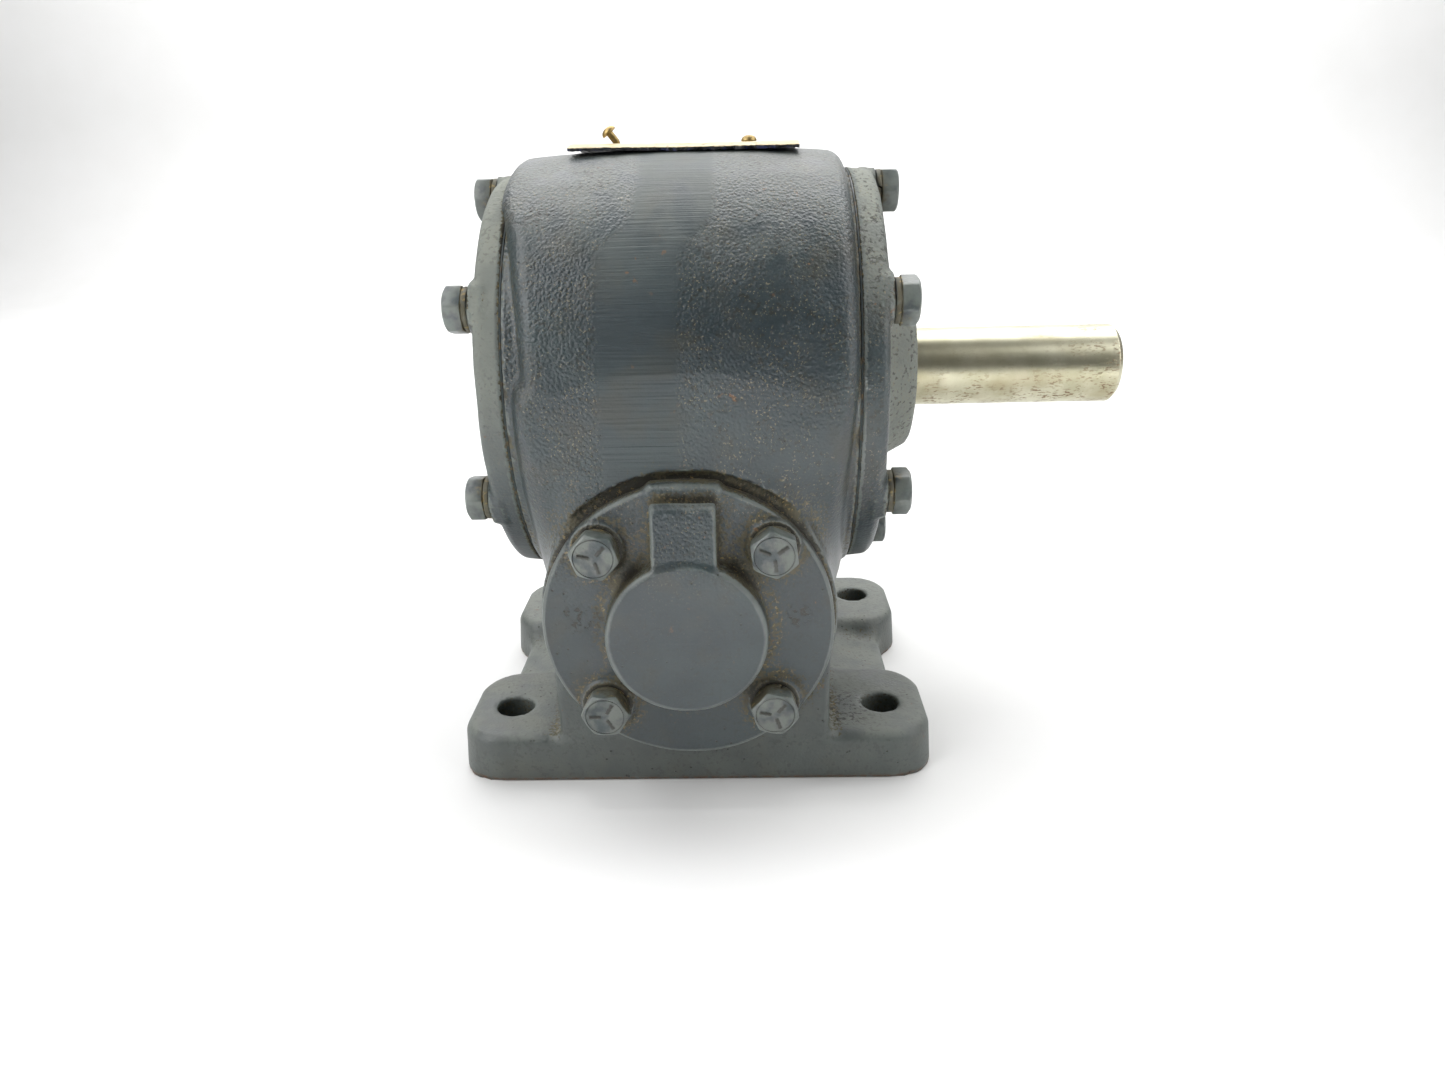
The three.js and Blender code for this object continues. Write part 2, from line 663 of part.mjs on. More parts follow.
// A tapered roller bearing stands on +Z from the wide face of its inner race, and its races close in
// towards the far side.
function bearingSolids({ bore, outer, width }) {
  const middle = (bore + outer) / 2;
  const raceRadius = (offset, z) => middle + offset - raceTaper * (z - width / 2);
  const gap = 0.45;
  const cupWidth = width - 2;
  const cup = turned([
    [raceRadius(rollerRadius + gap, width - cupWidth), width - cupWidth], [outer, width - cupWidth],
    [outer, width], [raceRadius(rollerRadius + gap, width), width],
    [raceRadius(rollerRadius + gap, width - cupWidth), width - cupWidth],
  ], 'z', medium);
  const coneEnd = width - 1.5;
  const ribWidth = 1.6;
  const cone = turned([
    [bore, 0], [raceRadius(1.5 - rollerRadius, 0), 0], [raceRadius(-rollerRadius - gap, ribWidth), ribWidth],
    [raceRadius(-rollerRadius - gap, coneEnd), coneEnd], [bore, coneEnd], [bore, 0],
  ], 'z', medium);
  const lean = -THREE.MathUtils.radToDeg(Math.atan(raceTaper));
  const rollerFrom = 2.4;
  const cageEnd = width - 1.6;
  const cageWidth = 1.6;
  const cageHalf = rollerRadius - 0.1;
  const roller = rod(rollerRadius - 0.2, 0, cageEnd - 0.8 - rollerFrom, 'z', 6)
    .rotate([0, lean, 0])
    .translate([raceRadius(0, rollerFrom), 0, rollerFrom]);
  const rollers = Array.from({ length: rollerCount }, (_, i) =>
    roller.rotate([0, 0, (i * 360) / rollerCount]));
  // The cage is drawn as the ring at the rollers' narrow ends.
  const cage = turned([
    [raceRadius(-cageHalf, cageEnd - cageWidth), cageEnd - cageWidth],
    [raceRadius(cageHalf, cageEnd - cageWidth), cageEnd - cageWidth],
    [raceRadius(cageHalf, cageEnd), cageEnd], [raceRadius(-cageHalf, cageEnd), cageEnd],
    [raceRadius(-cageHalf, cageEnd - cageWidth), cageEnd - cageWidth],
  ], 'z', 2 * rollerCount);
  return { cup, cone, rollers: join([cage, ...rollers]) };
}

function bearing(name, size, place) {
  const { cup, cone, rollers } = bearingSolids(size);
  return [
    piece(`${name}_cup`, place(cup), 'racesteel'),
    piece(`${name}_cone`, place(cone), 'racesteel'),
    piece(`${name}_rollers`, place(rollers), 'racesteel'),
  ];
}

function bearings() {
  const outputAt = outputBearing.inner + seatGap;
  const wormAt = wormBearing.inner + seatGap;
  return [
    ...bearing('output_bearing', outputBearing,
      (solid) => solid.rotate([0, 90, 0]).translate([outputAt, 0, outputHeight])),
    ...bearing('blind_bearing', outputBearing,
      (solid) => solid.rotate([0, -90, 0]).translate([-outputAt, 0, outputHeight])),
    ...bearing('worm_rear_bearing', wormBearing,
      (solid) => solid.rotate([-90, 0, 0]).translate([0, wormAt, wormHeight])),
    ...bearing('worm_front_bearing', wormBearing,
      (solid) => solid.rotate([90, 0, 0]).translate([0, -wormAt, wormHeight])),
  ];
}

// ---------------------------------------------------------------- seals, plugs, nameplate

// A lip seal: a flat ring whose lip turns back to the shaft.
function seal(shaftRadius, outerRadius, from, to, axis) {
  const lip = shaftRadius + runGap;
  return turned([
    [lip + 1.5, from], [outerRadius, from], [outerRadius, to], [lip + 2, to], [lip, to - 2.5],
    [lip + 1.5, from],
  ], axis, medium);
}

// A pipe plug with a square head, standing on +Z.
function plugSolid() {
  const threadLength = 9;
  const headHeight = 8;
  const headWidth = 10;
  const stem = rod(plugRadius - 0.1, -threadLength, 1.2, 'z', small);
  return stem.add(block(headWidth, headWidth, headHeight, 0, 0, headHeight / 2));
}

const plateRadius = drumCrownRadius + 0.25;
const plateThickness = 1;
const plateLeft = -34.7;
const plateRight = 35;
const plateHalfDepth = 14;
const screwX = 20;
const screwHeadRadius = 2.45;
const screwHeadHeight = 1.8;
const screwShankRadius = 1.1;
const screwHoleRadius = screwShankRadius + 0.3;
const plateHoleRadius = 2 * screwShankRadius;

// Both drive screws' holes, from well inside the drum's wall to well above the plate.
const screwHoles = (radius) => [-1, 1].map((side) =>
  rod(radius, outputHeight + drumCrownRadius - 7, outputHeight + drumCrownRadius + 5, 'z', small)
    .translate([side * screwX, 0, 0]));

// A thin plate bent to the drum's crown, straight along X.
function nameplate() {
  const half = Math.asin(plateHalfDepth / plateRadius);
  const shape = new THREE.Shape();
  shape.absarc(0, outputHeight, plateRadius + plateThickness, Math.PI / 2 - half, Math.PI / 2 + half, false);
  shape.absarc(0, outputHeight, plateRadius, Math.PI / 2 + half, Math.PI / 2 - half, true);
  const geometry = new THREE.ExtrudeGeometry(shape, {
    depth: plateRight - plateLeft, bevelEnabled: false, curveSegments: 6,
  });
  geometry.applyMatrix4(new THREE.Matrix4().makeBasis(
    new THREE.Vector3(0, 1, 0), new THREE.Vector3(0, 0, 1), new THREE.Vector3(1, 0, 0)));
  geometry.translate(plateLeft, 0, 0);
  return cut(solidOf(geometry), screwHoles(plateHoleRadius));
}

// A drive screw: a round head on a plain shank, standing on +Z from under its head.
function driveScrew() {
  const shankLength = 4.4;
  return turned([
    [0, -shankLength], [screwShankRadius, -shankLength], [screwShankRadius, 0], [screwHeadRadius, 0],
    [screwHeadRadius * 0.87, screwHeadHeight * 0.5], [screwHeadRadius * 0.5, screwHeadHeight * 0.86],
    [0, screwHeadHeight],
  ], 'z', small);
}

const plateTop = outputHeight + plateRadius + plateThickness;
const seatedScrew = () => driveScrew().translate([screwX, 0, plateTop + seatGap]);

// The left screw has worked loose: it stands half out of its hole and leans outwards.
const looseScrewOut = { sideways: 3.4, up: 3.45, lean: -38 };
const looseScrew = () => driveScrew()
  .rotate([0, looseScrewOut.lean, 0])
  .translate([-screwX - looseScrewOut.sideways, 0, plateTop + looseScrewOut.up]);

// ---------------------------------------------------------------- assembly

const gearbox = new THREE.Group();
gearbox.name = 'worm_gearbox';

const mirrorX = [1, 0, 0];
const mirrorY = [0, 1, 0];
const outputSeal = seal(outputShaftRadius, outputSealRadius, sealInnerX + seatGap, sealOuterX, 'x')
  .translate([0, 0, outputHeight]);
const inputSeal = seal(inputShaftRadius, inputSealRadius, inputSealInnerY + seatGap, capHubFaceY - 0.8, 'y')
  .translate([0, 0, wormHeight]);

gearbox.add(
  piece('housing', housing(), 'paint'),
  piece('output_cover', outputCover(), 'paint'),
  piece('blind_cover', blindCover(), 'paint'),
  piece('output_cover_gasket', coverGasket(), 'gasket'),
  piece('blind_cover_gasket', coverGasket().mirror(mirrorX), 'gasket'),
  piece('front_cap', frontCap(), 'paint'),
  piece('rear_cap', rearCap(), 'paint'),
  piece('front_cap_gasket', capGasket().mirror(mirrorY), 'gasket'),
  piece('rear_cap_gasket', capGasket(), 'gasket'),
  ...outputCoverBolts(),
  ...blindCoverBolts(),
  ...frontCapBolts(),
  ...rearCapBolts(),
  piece('output_shaft', outputShaft(), 'steel'),
  piece('wheel_rim', wheelRim(), 'bronze'),
  piece('wheel_hub', wheelHub(), 'iron'),
  piece('wheel_key', wheelKey(), 'steel'),
  piece('output_spacer', spacer(1), 'steel'),
  piece('blind_spacer', spacer(-1), 'steel'),
  piece('worm_shaft', wormShaft(), 'steel'),
  ...bearings(),
  piece('output_seal', outputSeal, 'seal'),
  piece('input_seal', inputSeal, 'seal'),
  piece('fill_plug', placeFill(plugSolid()), 'steel'),
  piece('level_plug', placeLevel(plugSolid()), 'steel'),
  piece('drain_plug', placeDrain(plugSolid()), 'steel'),
  piece('nameplate', nameplate(), 'plate'),
  piece('nameplate_screw_left', looseScrew(), 'brass'),
  piece('nameplate_screw_right', seatedScrew(), 'brass'),
);

export default gearbox;
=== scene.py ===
import json
import math

import bmesh
import bpy
import numpy as np
from mathutils import Matrix, Vector, noise


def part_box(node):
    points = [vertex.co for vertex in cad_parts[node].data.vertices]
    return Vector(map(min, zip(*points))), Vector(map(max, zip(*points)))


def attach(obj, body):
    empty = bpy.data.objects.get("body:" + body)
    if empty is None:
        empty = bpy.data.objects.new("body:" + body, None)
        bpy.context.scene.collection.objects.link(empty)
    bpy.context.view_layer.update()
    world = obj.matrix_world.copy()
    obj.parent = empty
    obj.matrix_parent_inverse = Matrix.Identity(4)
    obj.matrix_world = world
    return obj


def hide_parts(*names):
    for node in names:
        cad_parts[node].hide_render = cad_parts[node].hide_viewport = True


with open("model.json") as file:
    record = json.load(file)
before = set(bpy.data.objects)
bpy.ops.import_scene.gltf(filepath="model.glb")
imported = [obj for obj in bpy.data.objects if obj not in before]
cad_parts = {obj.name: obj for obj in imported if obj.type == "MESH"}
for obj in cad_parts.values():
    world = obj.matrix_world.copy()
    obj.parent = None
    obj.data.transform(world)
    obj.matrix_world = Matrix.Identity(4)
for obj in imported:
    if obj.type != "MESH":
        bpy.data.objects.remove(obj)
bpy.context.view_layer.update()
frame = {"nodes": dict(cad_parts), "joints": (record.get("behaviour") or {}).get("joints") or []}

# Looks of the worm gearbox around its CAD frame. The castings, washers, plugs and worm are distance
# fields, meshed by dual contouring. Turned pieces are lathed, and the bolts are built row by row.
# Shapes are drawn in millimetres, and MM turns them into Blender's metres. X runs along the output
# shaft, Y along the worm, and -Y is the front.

MM = 0.001
SLANT = math.sqrt(0.5)


# ---------------- sizes, from the frame

def box_mm(node):
    low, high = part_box(node)
    return np.array(low) / MM, np.array(high) / MM


def middle(node):
    low, high = box_mm(node)
    return (low + high) / 2


joints = {joint["name"]: joint for joint in frame["joints"]}
OUTPUT_Z = joints["output_spin"]["pos_m"][2] / MM
WORM_Z = joints["worm_spin"]["pos_m"][2] / MM

case_high = box_mm("housing")[1]
BASE_HALF_X = case_high[0]
CROWN_R = case_high[2] - OUTPUT_Z

gasket_low, gasket_high = box_mm("output_cover_gasket")
GASKET_GAP = 0.02
SEAM_X = gasket_low[0] - GASKET_GAP
COVER_SEAT_X = gasket_high[0] + GASKET_GAP

cover_low, cover_high = box_mm("output_cover")
COVER_R = (cover_high[2] - cover_low[2]) / 2
BOSS_X = cover_high[0]
PILOT_END_X = cover_low[0]
BLIND_DISC_X = -box_mm("blind_cover")[0][0]

cap_low, cap_high = box_mm("front_cap")
CAP_R = (cap_high[0] - cap_low[0]) / 2
HUB_Y = -cap_low[1]
CAP_PILOT_Y = -cap_high[1]
cap_gasket_low, cap_gasket_high = box_mm("rear_cap_gasket")
SEAT_Y = cap_gasket_low[1] - GASKET_GAP
CAP_SEAT_Y = cap_gasket_high[1] + GASKET_GAP

SHAFT_END_X = box_mm("output_shaft")[1][0]
INPUT_END_Y = box_mm("worm_shaft")[1][1]
INPUT_LOW_Y = box_mm("worm_shaft")[0][1]

# Sizes of features that no box in the frame gives. PAD is the height of the pads under the bolt
# heads, and FOOT_HOLE is how far the foot holes lie from the centre along X and Y.
COVER_RIM_X = SEAM_X + 8.5
BOSS_ROOT_X = 50.0
CAP_RIM_Y = 73.3
PAD = 1.0
COVER_BOLT_R = 56.0
CAP_BOLT_OFFSET = 24.9
BOLT_HOLE_R = 4.25
PLUG_HOLE_R = 7.5
HUB_R = 23.1
COVER_BORE_R = 50.6
CAP_BORE_R = 26.12
CAP_HOLLOW_R = 16.5
SHAFT_R = 12.7
INPUT_R = 7.94
SHAFT_CLEARANCE = 1.4
BARREL_R = 44.0
PEDESTAL_HALF_X = 42.5
PEDESTAL_HALF_Y = 63.8
FOOT_TOP = 16.0
FOOT_HOLE_R = 6.0
FOOT_HOLE = (60.9, 43.8)

COVER_BOLTS = [
    (COVER_BOLT_R * math.cos(a), OUTPUT_Z + COVER_BOLT_R * math.sin(a))
    for a in (math.radians(90 + 60 * i) for i in range(6))
]
CAP_BOLTS = [
    (x * CAP_BOLT_OFFSET, WORM_Z + z * CAP_BOLT_OFFSET) for x, z in ((-1, 1), (1, 1), (1, -1), (-1, -1))
]


# ---------------- distance fields

def smooth(value, low, high):
    """From 0 below low to 1 above high."""
    share = np.clip((value - low) / (high - low), 0, 1)
    return share * share * (3 - 2 * share)


def merge(a, b, fillet):
    """Union with a fillet."""
    overlap = np.maximum(1 - np.abs(a - b) / np.maximum(fillet, 1e-6), 0)
    return np.minimum(a, b) - fillet * overlap * overlap / 4


def within(a, b, edge):
    """Intersection with a rounded edge."""
    a, b = a + edge, b + edge
    return np.minimum(np.maximum(a, b), 0) + np.hypot(np.maximum(a, 0), np.maximum(b, 0)) - edge


def carve(a, b, edge=0.5):
    """a without b, with a softened edge."""
    return -merge(-a, b, edge * 2)


def slab(along, low, high):
    return np.maximum(low - along, along - high)


def disc(radial, along, radius, low, high, edge):
    return within(radial - radius, slab(along, low, high), edge)


def rounded_rectangle(u, v, half_u, half_v, corner):
    du = np.abs(u) - half_u + corner
    dv = np.abs(v) - half_v + corner
    return np.minimum(np.maximum(du, dv), 0) + np.hypot(np.maximum(du, 0), np.maximum(dv, 0)) - corner


def from_output_axis(y, z):
    return np.hypot(y, z - OUTPUT_Z)


def from_worm_axis(x, z):
    return np.hypot(x, z - WORM_Z)


def degrees_up(y, z):
    """How many degrees a point lies above the output axis, seen along it, front and rear alike."""
    return np.degrees(np.arctan2(z - OUTPUT_Z, np.abs(y)))


def drum_field(x, y, z):
    """The crowned gear drum and its two flanges. High on the drum its shoulders stand clear of the
    flanges in a narrow valley, and the left one hangs a little over its cover. Low down they run
    out into the flanges. lift is how many degrees a point lies above the axis."""
    across = np.abs(x)
    radial = from_output_axis(y, z)
    lift = degrees_up(y, z)
    left = x < 0
    narrow, widening, crown_drop, shoulder = 43.8, 5.2, 1.7, 5.0
    crown = CROWN_R - crown_drop * (across / 45) ** 2
    wide = np.where(left, smooth(lift, 7, 66), smooth(lift, -45, 15))
    sideways = 0.4 * smooth(lift, 25, 60)
    overhang = 2.8 * smooth(lift, 40, 62) * smooth(-x, 0, 20)
    half_width = narrow + widening * wide
    hump = within(np.abs(x + sideways) - half_width - overhang, radial - crown, shoulder)
    flange = disc(radial, x, COVER_R, -SEAM_X, SEAM_X, 0.25)
    sharp_valley, running_out = 1.8, 12
    standing_clear = np.where(left, smooth(lift, 3, 12), smooth(lift, -60, 0))
    valley = sharp_valley + running_out * (1 - standing_clear)
    valley = valley * smooth(SEAM_X + 0.3 - across, 0, 5) + 0.01
    joined = merge(hump, flange, valley)
    return within(joined, across - SEAM_X - overhang * smooth(radial - COVER_R, 0.7, 1.6), 0.25)


def base_field(x, y, z):
    """Four feet with drafted sides, and a low web between the front and rear feet on each side. The
    web's top rises towards the pedestal."""
    across, along = np.abs(x), np.abs(y)
    draft, most_draft = 0.07 * (FOOT_TOP - z), 1.1
    foot_low_y = 18.8
    foot_in_x = 20.0
    foot_half_x = (BASE_HALF_X - most_draft - foot_in_x) / 2
    foot_half_y = (PEDESTAL_HALF_Y - foot_low_y) / 2
    foot_u = across - foot_in_x - foot_half_x
    foot_v = along - foot_low_y - foot_half_y
    outline = rounded_rectangle(foot_u, foot_v, foot_half_x, foot_half_y, 14)
    outline = outline - np.minimum(draft, most_draft) * smooth(PEDESTAL_HALF_Y - 1 - along, 0, 2)
    feet = within(outline, z - FOOT_TOP, 3.2)
    web_half_x, web_half_y, web_low, web_rise = 68.0, 30, 8.6, 6.5
    web_top = web_low + web_rise * np.clip((web_half_x - across) / 26, 0, 1) ** 1.6
    web = within(across - web_half_x - draft * 0.4, along - web_half_y, 2)
    web = within(web, z - web_top, 1.6)
    return merge(feet, web, 7)


def body_field(x, y, z):
    """The outside of the case, without its holes. The barrel's ends are faced off round the caps, and
    the pedestal's front and rear stay flat below them."""
    radial = from_worm_axis(x, z)
    barrel = disc(radial, y, BARREL_R, -SEAT_Y, SEAT_Y, 0.9)
    pedestal = within(np.abs(x) - PEDESTAL_HALF_X, np.abs(y) - PEDESTAL_HALF_Y, 2.2)
    pedestal = np.maximum(pedestal, z - WORM_Z - 4)
    stand = merge(barrel, pedestal, 2)
    stand = merge(stand, base_field(x, y, z), 3.2)
    whole = merge(drum_field(x, y, z), stand, 11)
    spot_face = disc(radial, np.abs(y), BARREL_R + 1.6, SEAT_Y, SEAT_Y + 20, 0.4)
    whole = carve(whole, spot_face, 0.6)
    front_plane = np.abs(y) - PEDESTAL_HALF_Y - 5 * smooth(z, 12, 26)
    whole = np.maximum(whole, front_plane)
    return within(whole, -z, 1.0)


def chamber_field(x, y, z):
    """The space inside the case: wheel chamber, worm tunnel and oil sump."""
    radial = from_output_axis(y, z)
    chamber_r, chamber_half_x = 60.5, 35.5
    sump_half_x, sump_half_y, sump_floor = 31, 42, 14
    bore = radial - COVER_BORE_R
    chamber = disc(radial, x, chamber_r, -chamber_half_x, chamber_half_x, 4)
    tunnel = from_worm_axis(x, z) - CAP_BORE_R
    sump = rounded_rectangle(x, y, sump_half_x, sump_half_y, 6)
    sump = within(sump, slab(z, sump_floor, WORM_Z), 4)
    return np.minimum(merge(np.minimum(chamber, bore), sump, 3), tunnel)


def rod_field(u, v, centre, radius):
    """An endless round rod across the plane of u and v."""
    return np.hypot(u - centre[0], v - centre[1]) - radius


def bolt_holes(u, v, places, radius=BOLT_HOLE_R):
    holes = rod_field(u, v, places[0], radius)
    for place in places[1:]:
        holes = np.minimum(holes, rod_field(u, v, place, radius))
    return holes


def plug_holes(x, y, z):
    """Holes from outside into the chamber. The fill plug's slants up and back by 45 degrees."""
    fill, level, drain = middle("fill_plug"), middle("level_plug"), middle("drain_plug")
    deepest_x, deepest_slant = 30, 130
    across = (y - fill[1]) * SLANT - (z - fill[2]) * SLANT
    fill_hole = np.hypot(x - fill[0], across) - PLUG_HOLE_R
    fill_hole = np.maximum(fill_hole, -(z + y - deepest_slant) * SLANT)
    level_hole = np.maximum(rod_field(y, z, level[1:], PLUG_HOLE_R), deepest_x - x)
    drain_hole = np.maximum(rod_field(y, z, drain[1:], PLUG_HOLE_R), deepest_x + x)
    return np.minimum(np.minimum(fill_hole, level_hole), drain_hole)


def housing_field(x, y, z):
    solid = body_field(x, y, z)
    solid = carve(solid, chamber_field(x, y, z), 0.3)
    feet = np.hypot(np.abs(x) - FOOT_HOLE[0], np.abs(y) - FOOT_HOLE[1]) - FOOT_HOLE_R
    solid = carve(solid, feet, 0.5)
    cover_depth, cap_depth = 12, 15
    cover_threads = np.maximum(bolt_holes(y, z, COVER_BOLTS), SEAM_X - cover_depth - np.abs(x))
    cap_threads = np.maximum(bolt_holes(x, z, CAP_BOLTS), SEAT_Y - cap_depth - np.abs(y))
    holes = np.minimum(np.minimum(cover_threads, cap_threads), plug_holes(x, y, z))
    return carve(solid, holes, 0.3)


def pads_field(u, v, along, places, face, radius=7.9):
    """Low round pads under the bolt heads, without the bolts' holes."""
    pads = [disc(rod_field(u, v, place, 0), along, radius, face - 3, face + PAD, 0.6) for place in places]
    return np.minimum.reduce(pads)


def cover_field(x, y, z, boss):
    """A side cover at +X. boss adds what stands on its outer face. On the inside are the pilot ring
    that fits the case's bore, and the wall and pocket that hold the bearing's cup."""
    radial = from_output_axis(y, z)
    pilot_r, pilot_inner_r, pilot_end_x = COVER_BORE_R - 0.2, 43, 44.5
    wall_r, pocket_r, pocket_end_x = 36.8, 31.24, 55.44
    draft = 0.09 * (x - COVER_SEAT_X)
    rim = within(radial - COVER_R + draft, COVER_SEAT_X - x, 0.25)
    rim = within(rim, x - COVER_RIM_X, 2.6)
    pads = np.maximum(pads_field(y, z, x, COVER_BOLTS, COVER_RIM_X), radial - COVER_R + 0.3)
    pilot = disc(radial, x, pilot_r, pilot_end_x, COVER_SEAT_X + 2, 0.6)
    pilot = np.maximum(pilot, pilot_inner_r - radial)
    pocket_wall = disc(radial, x, wall_r, PILOT_END_X, COVER_RIM_X, 0.6)
    plate = merge(merge(rim, pads, 1.5), boss(radial, x), 6)
    plate = merge(plate, merge(pilot, pocket_wall, 2), 2)
    pocket = np.maximum(radial - pocket_r, x - pocket_end_x)
    plate = carve(plate, pocket, 0.3)
    return carve(plate, bolt_holes(y, z, COVER_BOLTS), 0.3)


def output_boss(radial, x):
    """A cone that widens towards the cover."""
    end_r, taper = 25.6, 0.52
    cone = (radial - end_r - taper * (BOSS_X - x)) / math.hypot(1, taper)
    return within(np.maximum(cone, BOSS_ROOT_X - x), x - BOSS_X, 1.6)


def blind_disc(radial, x):
    return disc(radial, x, 41.5, BOSS_ROOT_X, BLIND_DISC_X, 1.8)


def output_cover_field(x, y, z):
    plate = cover_field(x, y, z, output_boss)
    radial = from_output_axis(y, z)
    seal_r, seal_floor_x = 19.12, 60.5
    shaft_hole = radial - SHAFT_R - SHAFT_CLEARANCE
    seal_pocket = np.maximum(radial - seal_r, seal_floor_x - x)
    return carve(plate, np.minimum(shaft_hole, seal_pocket), 0.5)


def blind_cover_field(x, y, z):
    return cover_field(-x, y, z, blind_disc)


def cap_field(x, y, z, hub):
    """A worm-end cap at +Y. hub adds what stands on its outer face."""
    radial = from_worm_axis(x, z)
    rim = disc(radial, y, CAP_R, CAP_SEAT_Y, CAP_RIM_Y, 1.1)
    pads = pads_field(x, z, y, CAP_BOLTS, CAP_RIM_Y, 7.6)
    pilot = disc(radial, y, CAP_BORE_R - 0.42, CAP_PILOT_Y, CAP_SEAT_Y + 2, 0.4)
    plate = merge(merge(rim, pads, 1.6), hub(x, y, z, radial), 3.6)
    plate = np.minimum(plate, pilot)
    return carve(plate, bolt_holes(x, z, CAP_BOLTS), 0.3)


def plain_hub(x, y, z, radial):
    return disc(radial, y, HUB_R, CAP_RIM_Y - 4, HUB_Y, 1.5)


def rib_hub(x, y, z, radial):
    """The closed cap's hub, the rib over it and the small tab on the rim above the rib. The rib's face
    falls away a little from the hub, its end is bevelled, and a notch is cut in behind the end."""
    up = z - WORM_Z
    rib_half_x, rib_top, bevel_up, bevel_y = 9.1, 41.4, 38.2, 80
    notch_up, notch_y = 37.2, 77.2
    rib_face = y - HUB_Y + 0.5 + 0.13 * np.maximum(up - 20, 0)
    rib_end = np.maximum((up - bevel_up) * 0.89 + (y - bevel_y) * 0.45, up - rib_top)
    rib = within(np.abs(x) - rib_half_x, within(rib_face, rib_end, 0.9), 1.0)
    rib = carve(rib, np.maximum(y - notch_y, notch_up - up), 0.5)
    rib = np.maximum(rib, np.maximum(-up, CAP_RIM_Y - 1.5 - y))
    tab = within(np.abs(x) - 9.8, slab(up, 30, CAP_R), 0.8)
    tab = within(tab, slab(y, CAP_SEAT_Y + 0.8, CAP_RIM_Y + 0.35), 0.7)
    return np.minimum(merge(plain_hub(x, y, z, radial), rib, 1.2), tab)


def front_cap_field(x, y, z):
    plate = cap_field(x, -y, z, rib_hub)
    hub_wall = 6
    hollow = disc(from_worm_axis(x, z), -y, CAP_HOLLOW_R, 50, HUB_Y - hub_wall, 1.5)
    return carve(plate, hollow, 0.4)


def rear_cap_field(x, y, z):
    plate = cap_field(x, y, z, plain_hub)
    radial = from_worm_axis(x, z)
    seal_r, seal_floor_y, hollow_end_y = 15.62, 73.2, 69
    shaft_hole = radial - INPUT_R - SHAFT_CLEARANCE
    seal_pocket = np.maximum(radial - seal_r, seal_floor_y - y)
    inner = np.maximum(radial - CAP_HOLLOW_R, y - hollow_end_y)
    return carve(plate, np.minimum(np.minimum(shaft_hole, seal_pocket), inner), 0.4)


# ---------------- dual contouring

def gradient(field, points, reach=0.05):
    """Unit normals of a field at points."""
    x, y, z = points.T
    slope = np.stack([
        field(x + reach, y, z) - field(x - reach, y, z),
        field(x, y + reach, z) - field(x, y - reach, z),
        field(x, y, z + reach) - field(x, y, z - reach),
    ], axis=1)
    return slope / np.maximum(np.linalg.norm(slope, axis=1, keepdims=True), 1e-9)


def grid_crossings(values, low, step):
    """Where grid edges cross the surface: the point, the four cells round it, and its direction."""
    points, cells, flips = [], [], []
    inside = values < 0
    for axis in range(3):
        start = [slice(None)] * 3
        end = [slice(None)] * 3
        start[axis], end[axis] = slice(None, -1), slice(1, None)
        start, end = tuple(start), tuple(end)
        at = np.argwhere(inside[start] != inside[end])
        first = values[start][tuple(at.T)]
        last = values[end][tuple(at.T)]
        place = at.astype(float)
        place[:, axis] += first / (first - last)
        points.append(low + step * place)
        side, other = [a for a in range(3) if a != axis]
        around = []
        for a, b in ((-1, -1), (0, -1), (0, 0), (-1, 0)):
            cell = at.copy()
            cell[:, side] += a
            cell[:, other] += b
            around.append(cell)
        cells.append(np.stack(around, axis=1))
        flips.append((first < 0) != (axis == 1))
    return np.concatenate(points), np.concatenate(cells), np.concatenate(flips)


def contour(field, low, high, step):
    """Vertices and quads of a field's zero surface. Each vertex lies where the tangent planes of its
    cell meet, so flat faces stay flat and edges stay where they are. The grid starts at an odd part
    of a step outside the box, so that no flat face lies right on its nodes."""
    margin, steady = 2.13, 0.08
    low = np.array(low, float) - margin * step
    counts = np.ceil((np.array(high, float) + 2 * step - low) / step).astype(int) + 1
    x, y, z = (low[i] + step * np.arange(counts[i]) for i in range(3))
    values = field(x[:, None, None], y[None, :, None], z[None, None, :]).astype(np.float32)
    points, cells, flips = grid_crossings(values, low, step)
    normals = gradient(field, points)
    cell_ids = np.ravel_multi_index(cells.reshape(-1, 3).T, tuple(counts))
    unique_ids, owner = np.unique(cell_ids, return_inverse=True)
    owner = owner.reshape(-1)
    total = len(unique_ids)

    def gather(values_per_point):
        return np.bincount(owner, np.repeat(values_per_point, 4), total)

    count = gather(np.ones(len(points)))
    mass = np.stack([gather(points[:, i]) for i in range(3)], axis=1) / count[:, None]
    matrix = np.zeros((total, 3, 3))
    for i in range(3):
        for j in range(i, 3):
            matrix[:, i, j] = matrix[:, j, i] = gather(normals[:, i] * normals[:, j])
    offset = np.einsum("ij,ij->i", normals, points)
    right = np.stack([gather(normals[:, i] * offset) for i in range(3)], axis=1)
    right -= np.einsum("nij,nj->ni", matrix, mass)
    matrix += steady * np.eye(3)
    shift = np.linalg.solve(matrix, right[:, :, None])[:, :, 0]
    cell_low = low + step * np.stack(np.unravel_index(unique_ids, tuple(counts)), axis=1)
    vertices = np.clip(mass + shift, cell_low, cell_low + step)
    quads = owner.reshape(-1, 4)
    quads = np.where(flips[:, None], quads[:, ::-1], quads)
    return vertices, quads


# ---------------- meshes

def cast_noise(points, size, seed):
    """Smooth noise in about -1 to 1 at points, with features of about size."""
    offset = Vector((seed * 17.3, seed * 5.1, seed * 11.7))
    return np.array([noise.noise(Vector(p) / size + offset) for p in points])


def add_attribute(mesh, name, values):
    attribute = mesh.attributes.new(name, "FLOAT", "POINT")
    attribute.data.foreach_set("value", np.asarray(values, np.float32))


